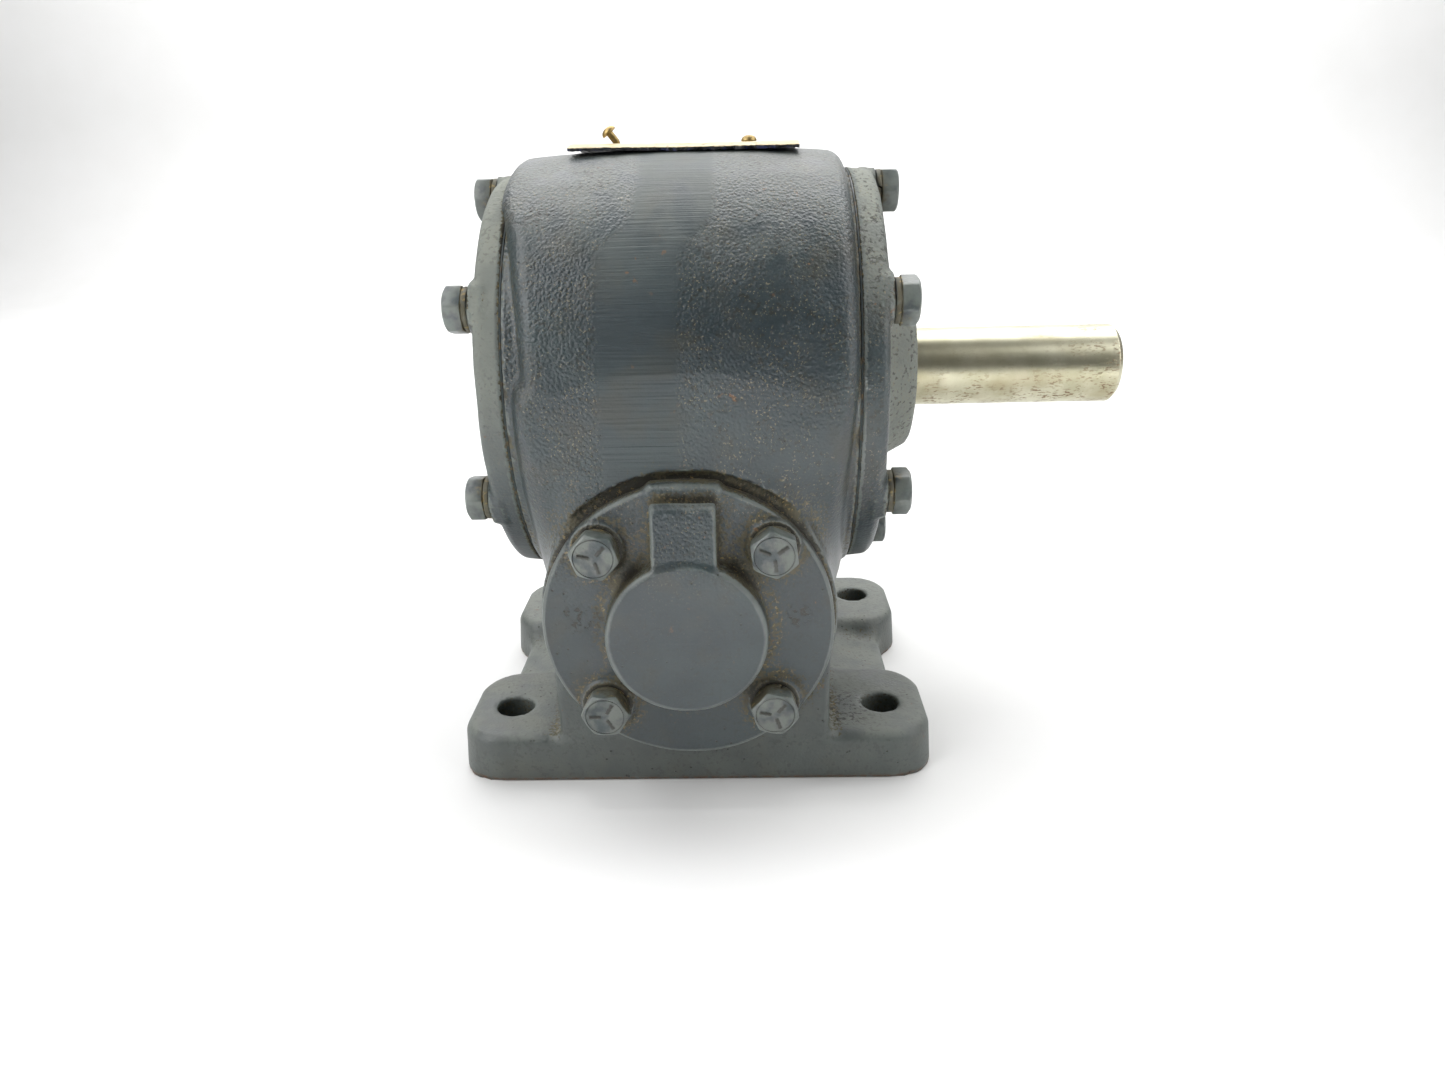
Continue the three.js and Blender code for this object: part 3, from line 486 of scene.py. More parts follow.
def new_object(name, vertices_mm, faces, material, attributes=None, sharp=None):
    """A smooth shaded object. Edges that turn by more than sharp degrees are kept sharp."""
    vertices = (np.asarray(vertices_mm) * MM).tolist()
    if isinstance(faces, np.ndarray):
        faces = faces.tolist()
    mesh = bpy.data.meshes.new(name)
    mesh.from_pydata(vertices, [], faces)
    mesh.shade_smooth()
    if sharp is not None:
        mesh.set_sharp_from_angle(angle=math.radians(sharp))
    for key, values in (attributes or {}).items():
        add_attribute(mesh, key, values)
    mesh.materials.append(material)
    piece = bpy.data.objects.new(name, mesh)
    bpy.context.collection.objects.link(piece)
    return piece


def stands_for(piece, node, body):
    """Fixes a piece to its body. node is the CAD node it replaces, or None for an extra piece."""
    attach(piece, body)
    if node:
        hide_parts(node)
    return piece


def hiding(points, normals, fields):
    """How closed-in each point is, from 0 in the open to 1 in a deep corner. Probes are sent out at
    several reaches, and each counts by how much nearer to some surface than its reach it ends up."""
    closed = np.zeros(len(points))
    reaches = (1.2, 3.0, 6.5, 11.0)
    for reach in reaches:
        probe = points + normals * reach
        nearest = np.full(len(points), np.inf)
        for field in fields:
            nearest = np.minimum(nearest, field(*probe.T))
        closed += np.clip((reach - nearest) / reach, 0, 1)
    return closed / len(reaches)


# ---------------- materials

class Finish:
    """A material being built, with sizes given in millimetres."""

    def __init__(self, name):
        self.material = bpy.data.materials.new(name)
        self.material.use_nodes = True
        self.tree = self.material.node_tree
        self.shader = self.tree.nodes["Principled BSDF"]
        self.place = self.tree.nodes.new("ShaderNodeTexCoord").outputs["Object"]
        self.facing = self.tree.nodes.new("ShaderNodeNewGeometry").outputs["Normal"]

    def connect(self, value, socket):
        if isinstance(value, bpy.types.NodeSocket):
            self.tree.links.new(value, socket)
        else:
            socket.default_value = value

    def stretched(self, stretch, shift=0.0):
        mapping = self.tree.nodes.new("ShaderNodeMapping")
        self.connect(self.place, mapping.inputs["Vector"])
        mapping.inputs["Scale"].default_value = [1 / s for s in stretch]
        mapping.inputs["Location"].default_value = (shift, shift * 0.7, shift * 1.3)
        return mapping.outputs["Vector"]

    def noise(self, size, detail=3.0, stretch=(1, 1, 1), shift=0.0):
        """Cloudy noise from 0 to 1 with features of about size. Each use has a shift of its own, so
        that no two patterns coincide."""
        texture = self.tree.nodes.new("ShaderNodeTexNoise")
        self.connect(self.stretched(stretch, shift), texture.inputs["Vector"])
        texture.inputs["Scale"].default_value = 1 / (size * MM)
        texture.inputs["Detail"].default_value = detail
        return texture.outputs[0]

    def spots(self, size, shift=0.0):
        """Distance from the nearest of many scattered points, in cells of about size."""
        texture = self.tree.nodes.new("ShaderNodeTexVoronoi")
        self.connect(self.stretched((1, 1, 1), shift), texture.inputs["Vector"])
        texture.inputs["Scale"].default_value = 1 / (size * MM)
        return texture.outputs["Distance"]

    def attribute(self, name):
        node = self.tree.nodes.new("ShaderNodeAttribute")
        node.attribute_name = name
        return node.outputs["Fac"]

    def part(self, vector, axis):
        node = self.tree.nodes.new("ShaderNodeSeparateXYZ")
        self.connect(vector, node.inputs[0])
        return node.outputs[axis]

    def ramp(self, value, low, high, top=1.0):
        """0 at low and top at high, with a smooth step between them. high may be less than low."""
        node = self.tree.nodes.new("ShaderNodeMapRange")
        node.interpolation_type = "SMOOTHSTEP"
        self.connect(value, node.inputs["Value"])
        start, end = (low, high) if low < high else (high, low)
        node.inputs["From Min"].default_value = start
        node.inputs["From Max"].default_value = end
        node.inputs["To Min"].default_value = 0.0 if low < high else top
        node.inputs["To Max"].default_value = top if low < high else 0.0
        return node.outputs["Result"]

    def math(self, operation, a, b):
        node = self.tree.nodes.new("ShaderNodeMath")
        node.operation = operation
        self.connect(a, node.inputs[0])
        self.connect(b, node.inputs[1])
        return node.outputs[0]

    def times(self, *values):
        result = values[0]
        for value in values[1:]:
            result = self.math("MULTIPLY", result, value)
        return result

    def plus(self, *values):
        result = values[0]
        for value in values[1:]:
            result = self.math("ADD", result, value)
        return result

    def swing(self, value, amount):
        """A value from 0 to 1 as a shift from -amount / 2 to amount / 2."""
        return self.times(self.plus(value, -0.5), amount)

    def blend(self, share, below, above):
        """Colour above over colour below, by share."""
        node = self.tree.nodes.new("ShaderNodeMix")
        node.data_type = "RGBA"
        node.clamp_factor = True
        factor, first, second = node.inputs[0], node.inputs[6], node.inputs[7]
        self.connect(share, factor)
        for value, socket in ((below, first), (above, second)):
            self.connect((*value, 1) if isinstance(value, tuple) else value, socket)
        return node.outputs[2]

    def finish(self, colour, roughness, relief=(), metallic=0.0, ior=1.5):
        """relief is a list of (height from 0 to 1, depth in mm)."""
        self.connect(colour, self.shader.inputs["Base Color"])
        self.connect(roughness, self.shader.inputs["Roughness"])
        self.connect(metallic, self.shader.inputs["Metallic"])
        self.shader.inputs["IOR"].default_value = ior
        normal = None
        for height, depth in relief:
            bump = self.tree.nodes.new("ShaderNodeBump")
            bump.inputs["Strength"].default_value = 1.0
            bump.inputs["Distance"].default_value = depth * MM
            self.connect(height, bump.inputs["Height"])
            if normal is not None:
                self.connect(normal, bump.inputs["Normal"])
            normal = bump.outputs["Normal"]
        if normal is not None:
            self.connect(normal, self.shader.inputs["Normal"])
        return self.material


PAINT_IOR = 1.62
PAINT = (0.015, 0.025, 0.030)
PAINT_PALE = (0.027, 0.041, 0.044)
PAINT_BROWNED = (0.036, 0.034, 0.022)
# A pale colour that paints the highlight on rounded edges.
EDGE_HIGHLIGHT = (0.13, 0.15, 0.14)
# A near-black for oily grime. It also paints shade in closed-in corners and gaps.
GREASE_AND_SHADE = (0.016, 0.015, 0.010)
OLIVE_DIRT = (0.078, 0.068, 0.034)
TAN_SPECKS = (0.19, 0.165, 0.10)
OCHRE = (0.25, 0.18, 0.065)
RUST = (0.13, 0.060, 0.020)
# A pale colour for dust. It also paints a sheen on upward faces, and the painted light on the case's lower
# part and on the covers' rims and boss.
DUST_AND_SHEEN = (0.25, 0.265, 0.225)
BARE_METAL = (0.25, 0.24, 0.19)


def cast_paint():
    """Enamel over a rough casting: pebbled, oil-browned, greasy and darkened as painted shade in the
    corners, rusty in specks, paler on upward faces from dust and a painted sheen, and with a painted
    highlight on the edges. The castings' attributes say where it is closed in, ground smooth, paled by
    painted light, pitted or on an edge."""
    f = Finish("cast_paint")
    hidden = f.attribute("hiding")
    ground = f.attribute("ground")
    upward = f.part(f.facing, 2)
    broad = f.noise(28, 4)
    patches = f.noise(9, 4, shift=0.4)
    fine = f.noise(1.6, 3, shift=0.8)
    colour = f.blend(f.ramp(broad, 0.35, 0.7), PAINT, PAINT_PALE)
    browning = f.times(f.ramp(f.noise(15, 5, shift=1.1), 0.5, 0.72), 0.45)
    colour = f.blend(browning, colour, PAINT_BROWNED)
    # Paler on upward faces, partly from real dust and partly as a painted sheen. The attribute for paled
    # paint, read next, adds painted light in the same pale colour.
    dust_and_sheen = f.times(f.ramp(upward, 0.4, 1.0, 0.25), f.ramp(patches, 0.3, 0.6))
    dust_and_sheen = f.plus(dust_and_sheen, f.times(f.attribute("painted_light"), f.plus(0.34, f.times(patches, 0.5))))
    colour = f.blend(dust_and_sheen, colour, DUST_AND_SHEEN)
    pitted = f.attribute("pitted")
    open_face = f.plus(1.0, f.times(ground, -1.0))
    high_up = f.ramp(f.part(f.place, 2), 0.55 * OUTPUT_Z * MM, 0.85 * OUTPUT_Z * MM)
    speckle = f.times(
        f.ramp(f.noise(1.3, 4, shift=2.2), 0.55, 0.63), f.ramp(patches, 0.36, 0.52),
        f.plus(0.25, f.times(high_up, 0.45)))
    colour = f.blend(f.times(speckle, open_face), colour, GREASE_AND_SHADE)
    # Paler on sharply turning edges: a painted highlight of the enamel's rounded edges.
    edge = f.ramp(f.plus(f.attribute("edge"), f.swing(patches, 0.35)), 0.12, 0.34, 0.7)
    colour = f.blend(edge, colour, EDGE_HIGHLIGHT)
    ragged = f.plus(hidden, f.swing(f.noise(1.0, 5, shift=0.8), 1.1))
    dirt = f.ramp(ragged, 0.26, 0.46, 0.9)
    colour = f.blend(dirt, colour, OLIVE_DIRT)
    # Near-black where the casting is closed in: oily grime, and painted shade in its corners and gaps.
    grease_and_shade = f.ramp(f.plus(ragged, f.swing(patches, 1.5)), 0.46, 0.74, 0.85)
    colour = f.blend(grease_and_shade, colour, GREASE_AND_SHADE)
    crumbs = f.times(
        f.ramp(f.noise(0.9, 4, shift=4.9), 0.59, 0.66), f.ramp(hidden, 0.15, 0.4, 0.75),
        f.ramp(f.noise(11, 3, shift=5.6), 0.42, 0.6))
    colour = f.blend(crumbs, colour, OCHRE)
    rust = f.times(
        f.ramp(f.noise(2.6, 5, shift=3.7), 0.66, 0.72), f.ramp(f.noise(20, 2, shift=4.4), 0.52, 0.64, 0.8))
    colour = f.blend(rust, colour, RUST)
    dust_specks = f.times(
        f.ramp(f.noise(0.6, 3, shift=5.1), 0.61, 0.67, 0.7), f.ramp(patches, 0.36, 0.52),
        f.plus(0.1, f.times(high_up, 0.9)))
    colour = f.blend(f.times(dust_specks, open_face), colour, TAN_SPECKS)
    foot_line = f.times(f.ramp(f.part(f.place, 2), 1.8 * MM, 0.5 * MM), f.ramp(fine, 0.3, 0.6, 0.8))
    colour = f.blend(foot_line, colour, RUST)
    rough_zone = f.plus(f.ramp(f.noise(18, 2, shift=9.2), 0.42, 0.55), pitted)
    pits = f.times(f.ramp(f.spots(3.4, 8.8), 0.13, 0.06), rough_zone, open_face)
    rotted = f.times(f.ramp(f.noise(1.7, 4, shift=9.9), 0.53, 0.59), pitted)
    hollows = f.math("MAXIMUM", pits, rotted)
    colour = f.blend(f.times(hollows, 0.85), colour, GREASE_AND_SHADE)
    roughness = f.plus(
        0.31, f.times(broad, 0.12), f.times(dirt, 0.3), f.times(dust_and_sheen, 0.5), f.times(ground, 0.1))
    strength = f.times(f.ramp(f.noise(22, 2, shift=6.0), 0.3, 0.6), f.plus(0.25, f.times(high_up, 0.35)))
    strength = f.times(f.plus(0.15, f.times(high_up, 0.35), strength), f.plus(1.0, f.times(ground, -0.93)))
    grains = f.ramp(f.spots(1.1, 6.1), 0.75, 0.15)
    pebbles = f.times(f.plus(f.times(grains, 0.5), f.noise(0.7, 3, shift=6.3)), strength)
    peel = f.noise(0.7, 2, shift=7.1)
    scratches = f.times(f.noise(0.7, 3, stretch=(55, 1, 1), shift=7.9), ground)
    sunk = f.times(hollows, -1.0)
    return f.finish(
        colour, roughness, [(pebbles, 0.22), (peel, 0.04), (scratches, 0.22), (sunk, 0.22)], ior=PAINT_IOR)


def bolt_paint():
    """The same enamel on bolts, washers and plugs: paler in patches, with a painted highlight on the
    head's chamfer, dark on the head's marks, dirty round its foot, and with some bare metal."""
    f = Finish("bolt_paint")
    fine = f.noise(1.8, 4)
    colour = f.blend(f.ramp(f.noise(6, 3, shift=0.3), 0.35, 0.65), PAINT, PAINT_PALE)
    colour = f.blend(f.ramp(f.noise(5, 3, shift=0.6), 0.3, 0.6, 0.4), colour, DUST_AND_SHEEN)
    # Paler on the head's chamfer: a painted highlight.
    picked_out = f.times(f.attribute("edge"), f.ramp(f.noise(3, 4, shift=0.9), 0.3, 0.6, 0.8))
    colour = f.blend(picked_out, colour, EDGE_HIGHLIGHT)
    colour = f.blend(f.times(f.attribute("groove"), 0.9), colour, GREASE_AND_SHADE)
    hidden = f.attribute("hiding")
    dirt = f.ramp(f.plus(hidden, f.swing(fine, 0.6)), 0.2, 0.5, 0.85)
    colour = f.blend(dirt, colour, OLIVE_DIRT)
    bare = f.ramp(f.noise(2.4, 4, shift=1.6), 0.71, 0.76, 0.6)
    colour = f.blend(bare, colour, BARE_METAL)
    rust = f.times(f.ramp(f.noise(2.0, 5, shift=2.9), 0.58, 0.68, 0.8), f.ramp(hidden, 0.1, 0.4))
    colour = f.blend(rust, colour, OCHRE)
    roughness = f.plus(0.33, f.times(dirt, 0.35), f.times(fine, 0.12))
    return f.finish(
        colour, roughness, [(f.noise(0.9, 3, shift=3.3), 0.1)], f.times(bare, 0.8), ior=PAINT_IOR)


def shaft_steel():
    """Ground steel with a yellowish oil film, brown bands and rust specks below and near the end."""
    f = Finish("shaft_steel")
    x = f.part(f.place, 0)
    z = f.part(f.place, 2)
    oiled, clean = (0.45, 0.43, 0.30), (0.60, 0.58, 0.44)
    brown, rust = (0.24, 0.17, 0.07), (0.16, 0.075, 0.025)
    turned = f.noise(0.35, 3, stretch=(1, 40, 40))
    cloud = f.noise(11, 4, shift=0.6)
    colour = f.blend(f.ramp(cloud, 0.3, 0.7), oiled, clean)
    near_end = f.ramp(x, (SHAFT_END_X - 34) * MM, SHAFT_END_X * MM)
    below = f.ramp(z, (OUTPUT_Z + 4) * MM, (OUTPUT_Z - 9) * MM)
    picked_out = f.math("MAXIMUM", f.times(near_end, 0.75), below)
    stain = f.times(f.ramp(f.noise(9, 5, (2, 1, 1), 1.7), 0.42, 0.7), f.plus(0.15, f.times(picked_out, 0.3)))
    colour = f.blend(stain, colour, brown)
    specks = f.times(
        f.ramp(f.noise(0.6, 5, (2.5, 1, 1), 2.8), 0.52, 0.62), f.ramp(f.noise(6, 3, shift=3.3), 0.4, 0.6),
        f.plus(0.10, f.times(picked_out, 0.75)))
    colour = f.blend(specks, colour, rust)
    rough = f.plus(0.24, f.times(turned, 0.14), f.times(stain, 0.3), f.times(specks, 0.4))
    metal = f.plus(1.0, f.times(specks, -0.85))
    return f.finish(colour, rough, [(turned, 0.012), (specks, 0.03)], metal)


def plain_metal(name, colour, tint, roughness, grain, depth, metallic=1.0):
    """A machined or cast metal, clouded from colour to tint, with stains and a grain."""
    f = Finish(name)
    dark = tuple(part * 0.35 for part in tint)
    cloud = f.noise(8, 4)
    grained = f.noise(grain, 3, shift=1.1)
    stained = f.times(f.ramp(f.noise(5, 5, shift=2.1), 0.45, 0.7), 0.7)
    shade = f.blend(stained, f.blend(cloud, colour, tint), dark)
    rough = f.plus(roughness, f.times(grained, 0.12), f.times(stained, 0.2))
    return f.finish(shade, rough, [(grained, depth)], metallic)


def rubber():
    """Black seal rubber with some dust on it."""
    f = Finish("seal_rubber")
    black, dust = (0.018, 0.018, 0.018), (0.10, 0.085, 0.06)
    dust_and_sheen = f.ramp(f.noise(3, 5), 0.5, 0.7, 0.4)
    colour = f.blend(dust_and_sheen, black, dust)
    return f.finish(colour, f.plus(0.42, f.times(dust_and_sheen, 0.4)), [(f.noise(0.8, 3, shift=1.4), 0.04)])


def gasket_fibre():
    """Brown fibre sheet, dark where it is oily, and mostly painted over at its edge."""
    f = Finish("gasket_fibre")
    dry_fibre, oily_fibre = (0.12, 0.085, 0.04), (0.05, 0.038, 0.02)
    oily = f.ramp(f.noise(6, 5), 0.35, 0.65)
    colour = f.blend(oily, dry_fibre, oily_fibre)
    painted_over = f.ramp(f.noise(3.0, 5, shift=2.3), 0.36, 0.48, 0.95)
    colour = f.blend(painted_over, colour, PAINT_PALE)
    rough = f.plus(0.75, f.times(oily, -0.3))
    return f.finish(colour, rough, [(f.noise(0.5, 4, shift=1.2), 0.06)])


def plate_finish():
    """A weathered nameplate without any text: cream and gold above, with lacquered black flaking below, in
    patches of dark blue that paint the plate's shadow.
    """
    f = Finish("nameplate_face")
    cream, gold, brown = (0.66, 0.58, 0.40), (0.46, 0.36, 0.17), (0.16, 0.10, 0.045)
    black_lacquer, shadow_blue = (0.010, 0.010, 0.012), (0.012, 0.016, 0.06)
    under = f.plus(f.attribute("under"), f.swing(f.noise(1.6, 4), 0.4))
    colour = f.blend(f.noise(6, 4, shift=0.5), cream, gold)
    colour = f.blend(f.ramp(f.noise(2.2, 5, shift=1.9), 0.56, 0.66, 0.8), colour, brown)
    black = f.ramp(under, 0.10, 0.20)
    # Black, in patches of dark blue. The blue paints the shadow under the plate's ragged edge.
    lacquer_and_shadow = f.blend(f.ramp(f.noise(3, 3, shift=2.2), 0.5, 0.6), black_lacquer, shadow_blue)
    colour = f.blend(black, colour, lacquer_and_shadow)
    rough = f.plus(0.34, f.times(f.noise(2, 4, shift=2.7), 0.3))
    return f.finish(colour, rough, [(f.noise(1.2, 4, shift=3.1), 0.06)], f.plus(0.3, f.times(black, -0.3)))


paint = cast_paint()
painted_bolt = bolt_paint()
steel = shaft_steel()
fibre = gasket_fibre()
black_rubber = rubber()
plate_face = plate_finish()
brass = plain_metal("stained_brass", (0.52, 0.40, 0.18), (0.36, 0.25, 0.10), 0.34, 0.7, 0.05)
bronze = plain_metal("gear_bronze", (0.60, 0.40, 0.17), (0.48, 0.30, 0.11), 0.28, 0.5, 0.03)
hub_iron = plain_metal("hub_iron", (0.17, 0.16, 0.15), (0.10, 0.095, 0.09), 0.5, 1.4, 0.15)
bearing_steel = plain_metal("bearing_steel", (0.66, 0.67, 0.68), (0.55, 0.55, 0.54), 0.18, 0.4, 0.01)


# ---------------- castings

def rough_cast(points, normals, outer, mask, seed):
    """Moves the unmachined skin in and out a little, as sand casting leaves it. Only points close to
    the surface of the outer field move, and only as far as mask lets them."""
    skin = 1 - smooth(-outer(*points.T), 0.4, 1.2)
    skin = skin * mask(*points.T)
    broad_waves, small_waves = cast_noise(points, 26, seed), cast_noise(points, 8, seed + 1)
    waves = 0.28 * broad_waves + 0.14 * small_waves
    return points + normals * (waves * skin)[:, None]


def turning(points, normals, quads):
    """How fast the surface turns outwards at each point, per millimetre: high along sharp edges."""
    starts = quads.ravel()
    ends = np.roll(quads, -1, axis=1).ravel()
    step = points[ends] - points[starts]
    opening = ((normals[ends] - normals[starts]) * step).sum(axis=1)
    rate = opening / np.maximum((step * step).sum(axis=1), 1e-6)
    corners, count = np.concatenate([starts, ends]), len(points)
    total = np.bincount(corners, np.tile(rate, 2), count)
    return np.clip(total / np.maximum(np.bincount(corners, minlength=count), 1), 0, 1)


def pitted_patches(x, y, z):
    """Where the skin of the castings is rotted and chipped, as (centre, reach, amount): the right front
    foot, the output cover's rim, both sides of the closed cap's flange and the drum's left shoulder."""
    mark_x = 0.75 * CAP_R
    shoulder_y, shoulder_up = 0.63 * CROWN_R, 0.77 * CROWN_R
    patches = (
        ((PEDESTAL_HALF_X + 5, -PEDESTAL_HALF_Y + 17, FOOT_TOP), 13, 0.9),
        ((COVER_RIM_X - 3, -0.68 * COVER_R, OUTPUT_Z + 0.73 * COVER_R), 14, 0.8),
        ((-mark_x, -CAP_RIM_Y, WORM_Z + 3), 5.5, 1.0),
        ((mark_x, -CAP_RIM_Y, WORM_Z + 3), 4.5, 1.0),
        ((-PEDESTAL_HALF_X + 0.5, -shoulder_y, OUTPUT_Z + shoulder_up), 7, 0.8),
    )
    share = np.zeros(len(x))
    for centre, reach, amount in patches:
        away = np.sqrt((x - centre[0]) ** 2 + (y - centre[1]) ** 2 + (z - centre[2]) ** 2)
        share = np.maximum(share, amount * (1 - smooth(away, 0.55 * reach, reach)))
    return share


def cast_piece(node, field, outer, mask, near, step, seed):
    """A casting meshed from its field. outer is its skin without holes, mask says where that skin is as
    cast, and near are the fields whose closeness makes it dirty and darkens it with painted shade."""
    low, high = box_mm(node)
    points, quads = contour(field, low, high, step * coarseness)
    normals = gradient(field, points)
    extra = {"edge": turning(points, normals, quads), "pitted": pitted_patches(*points.T)}
    points = rough_cast(points, normals, outer, mask, seed)
    extra["hiding"] = hiding(points, normals, near)
    if node == "housing":
        extra["painted_light"], extra["ground"] = case_light_and_wear(*points.T)
    elif node.endswith("_cover"):
        extra["painted_light"], extra["ground"] = cover_sheen_and_wear(*points.T)
    piece = new_object(node + "_cast", points, quads, paint, extra)
    return stands_for(piece, node, "case")


def ground_band(x, y, z):
    """A strip over the front of the drum where the mould's parting line was ground smooth."""
    lift = np.degrees(np.arctan2(z - OUTPUT_Z, -y))
    centre = -11.5 + 10 * smooth(lift, 36, 50)
    across = 1 - smooth(np.abs(x - centre), 9.5, 12.5)
    drum_only = smooth(from_output_axis(y, z), 64, 66)
    return across * drum_only * smooth(lift, -25, -15) * (1 - smooth(lift, 95, 105))


def case_light_and_wear(x, y, z):
    """How pale and how smooth the case's paint is: paler and paler towards the floor, which paints the
    light thrown up from the white floor, and smooth on the ground strip."""
    paler_from, palest = 80, 0.45
    return palest * smooth(-z, -paler_from, 0), ground_band(x, y, z)


def cover_sheen_and_wear(x, y, z):
    """How pale and how smooth the covers' paint is. The rims are paler on their upper part and the boss
    all over, which paints the reflection of the lights, and only the closed cover's rim is smooth."""
    lift = degrees_up(y, z)
    rim = smooth(from_output_axis(y, z), COVER_R - 3, COVER_R - 1)
    boss = smooth(np.abs(x) - COVER_RIM_X, 1.5, 4)
    closed = x < 0
    painted_light = np.where(closed, rim * smooth(lift, -30, 20), np.maximum(rim * smooth(lift, 15, 45), boss))
    return painted_light, np.where(closed, 0.55 * rim, 0)


def housing_mask(x, y, z):
    """0 on the machined faces of the case, 1 on its cast skin."""
    clear_of_covers = smooth(SEAM_X - np.abs(x), 0.6, 3)
    clear_of_caps = smooth(SEAT_Y - np.abs(y), 0.4, 2)
    band = 1 - 0.85 * ground_band(x, y, z)
    return clear_of_covers * clear_of_caps * smooth(z, 0.5, 3) * band


def cover_mask(x, y, z):
    return smooth(np.abs(x) - COVER_SEAT_X, 0.6, 2) * smooth(from_output_axis(y, z), 21, 24)


def cap_mask(x, y, z):
    return smooth(np.abs(y) - CAP_SEAT_Y, 0.4, 1.5) * smooth(from_worm_axis(x, z), 10, 12)


def cap_bolt_heads(x, y, z):
    """Round stand-ins for the bolt heads on both caps, where dirt gathers and painted shade falls on the
    castings.
    """
    return np.maximum(bolt_holes(x, z, CAP_BOLTS, 7.0), slab(np.abs(y), CAP_RIM_Y, CAP_RIM_Y + 8))


def cover_bolt_heads(x, y, z):
    """The same for the bolt heads on both covers."""
    return np.maximum(bolt_holes(y, z, COVER_BOLTS, 7.0), slab(np.abs(x), COVER_RIM_X, COVER_RIM_X + 8))


coarseness = 1.0
lids = {
    "output_cover": (output_cover_field, cover_mask, cover_bolt_heads, 0.95, 3),
    "blind_cover": (blind_cover_field, cover_mask, cover_bolt_heads, 0.95, 5),
    "front_cap": (front_cap_field, cap_mask, cap_bolt_heads, 0.65, 7),
    "rear_cap": (rear_cap_field, cap_mask, cap_bolt_heads, 0.85, 9),
}
castings = [housing_field] + [lid[0] for lid in lids.values()]
cast_piece("housing", housing_field, body_field, housing_mask, castings, 1.4, 1)
for lid_name, (lid_field, mask, heads, step, seed) in lids.items():
    cast_piece(lid_name, lid_field, lid_field, mask, [lid_field, housing_field, heads], step, seed)


# ---------------- bolts and lock washers

# A bolt is drawn along +w from its seat at 0. Its head's underside is at HEAD_LOW, on the washer, and
# its top face, HEAD_FACE_R in radius, is at HEAD_HIGH. HEAD_HALF is half the size across flats.
HEAD_LOW = 2.0
HEAD_HIGH = 7.3
HEAD_HALF = 6.3
HEAD_CORNER_R = 7.12
HEAD_FACE_R = 5.9
HEAD_GROOVE = HEAD_HIGH - 0.2
HEAD_SIDES = 72


def head_mark(angle, r):
    """Height of the three raised strokes on a head's top face."""
    start, end, half_width, ramp, rise = 1.0, 4.9, 0.2, 0.4, 0.3

    def up(value):
        return min(1.0, max(0.0, value / ramp))

    height = 0.0
    for stroke in (30, 150, 270):
        aside = r * math.sin(angle - math.radians(stroke))
        ahead = r * math.cos(angle - math.radians(stroke))
        if ahead > 0:
            across = 1 - up(abs(aside) - half_width)
            height = max(height, rise * across * up(ahead - start) * up(end - ahead))
    return height


def round_faces(rows, sides):
    """Quads between rows of vertices that each run once round an axis."""
    faces = []
    for row in range(rows - 1):
        for i in range(sides):
            a, b = row * sides + i, row * sides + (i + 1) % sides
            faces.append((a, b, b + sides, a + sides))
    return faces


def end_faces(rows, sides):
    """The faces that close the first and the last row."""
    return [tuple(range(sides))[::-1], tuple(range((rows - 1) * sides, rows * sides))]


def bolt_rows(length):
    """Rows of (radius, height) from the tip of a bolt to the middle of its head. Rows that start with
    'hex' follow the six flats: their numbers are how far inside the flats they lie, and their height.
    So do 'chamfer' rows, but their height is above or below the cone that cuts the corners off."""
    pitch, crest, root = 1.25, 3.9, 3.25
    rows = [(2.6, -length), (root, -length + 0.6)]
    for turn in range(int((length - 2) / pitch)):
        low = -length + 0.9 + turn * pitch
        rows += [(crest, low + 0.3), (root, low + 0.3 + pitch / 2)]
    rows += [(crest, 0.0), (crest, HEAD_LOW), (5.6, HEAD_LOW)]
    rows += [("hex", 0.35, HEAD_LOW + 0.03), ("hex", 0.08, HEAD_LOW + 0.15), ("hex", 0, HEAD_LOW + 0.5)]
    rows += [("chamfer", 0, -0.35), ("chamfer", 0.1, -0.05), ("chamfer", 0.35, 0.13)]
    rows += [(HEAD_FACE_R, HEAD_HIGH - 0.03), (5.7, HEAD_HIGH - 0.02), (5.55, HEAD_GROOVE)]
    rows += [(5.4, HEAD_HIGH - 0.02)]
    rows += [(r, HEAD_HIGH) for r in np.linspace(5.2, 0.4, 16)]
    return rows


def bolt_mesh(length):
    """A hex bolt. The groove attribute is 1 on the strokes and in the ring groove round them, which the
    finish darkens, and the edge attribute is 1 on the head's chamfer, where the finish paints a highlight."""
    cone_slope = 0.62
    points, grooves, edges = [], [], []
    rows = bolt_rows(length)
    for row in rows:
        for i in range(HEAD_SIDES):
            angle = 2 * math.pi * i / HEAD_SIDES
            flat = (angle + math.pi / 6) % (math.pi / 3) - math.pi / 6
            hexagon = min(HEAD_HALF / math.cos(flat), HEAD_CORNER_R)
            if row[0] == "hex":
                r, w = hexagon - row[1], row[2]
            elif row[0] == "chamfer":
                r, w = hexagon - row[1], HEAD_HIGH - (hexagon - HEAD_FACE_R) * cone_slope + row[2]
            else:
                r, w = row
                if w == HEAD_HIGH:
                    w += head_mark(angle, r)
            points.append((r * math.cos(angle), r * math.sin(angle), w))
            grooves.append(1.0 if w > HEAD_HIGH + 0.04 or w == HEAD_GROOVE else 0.0)
            edges.append(1.0 if row[0] == "chamfer" or r == HEAD_FACE_R else 0.0)
    faces = round_faces(len(rows), HEAD_SIDES) + end_faces(len(rows), HEAD_SIDES)
    return np.array(points), faces, {"groove": grooves, "edge": edges}


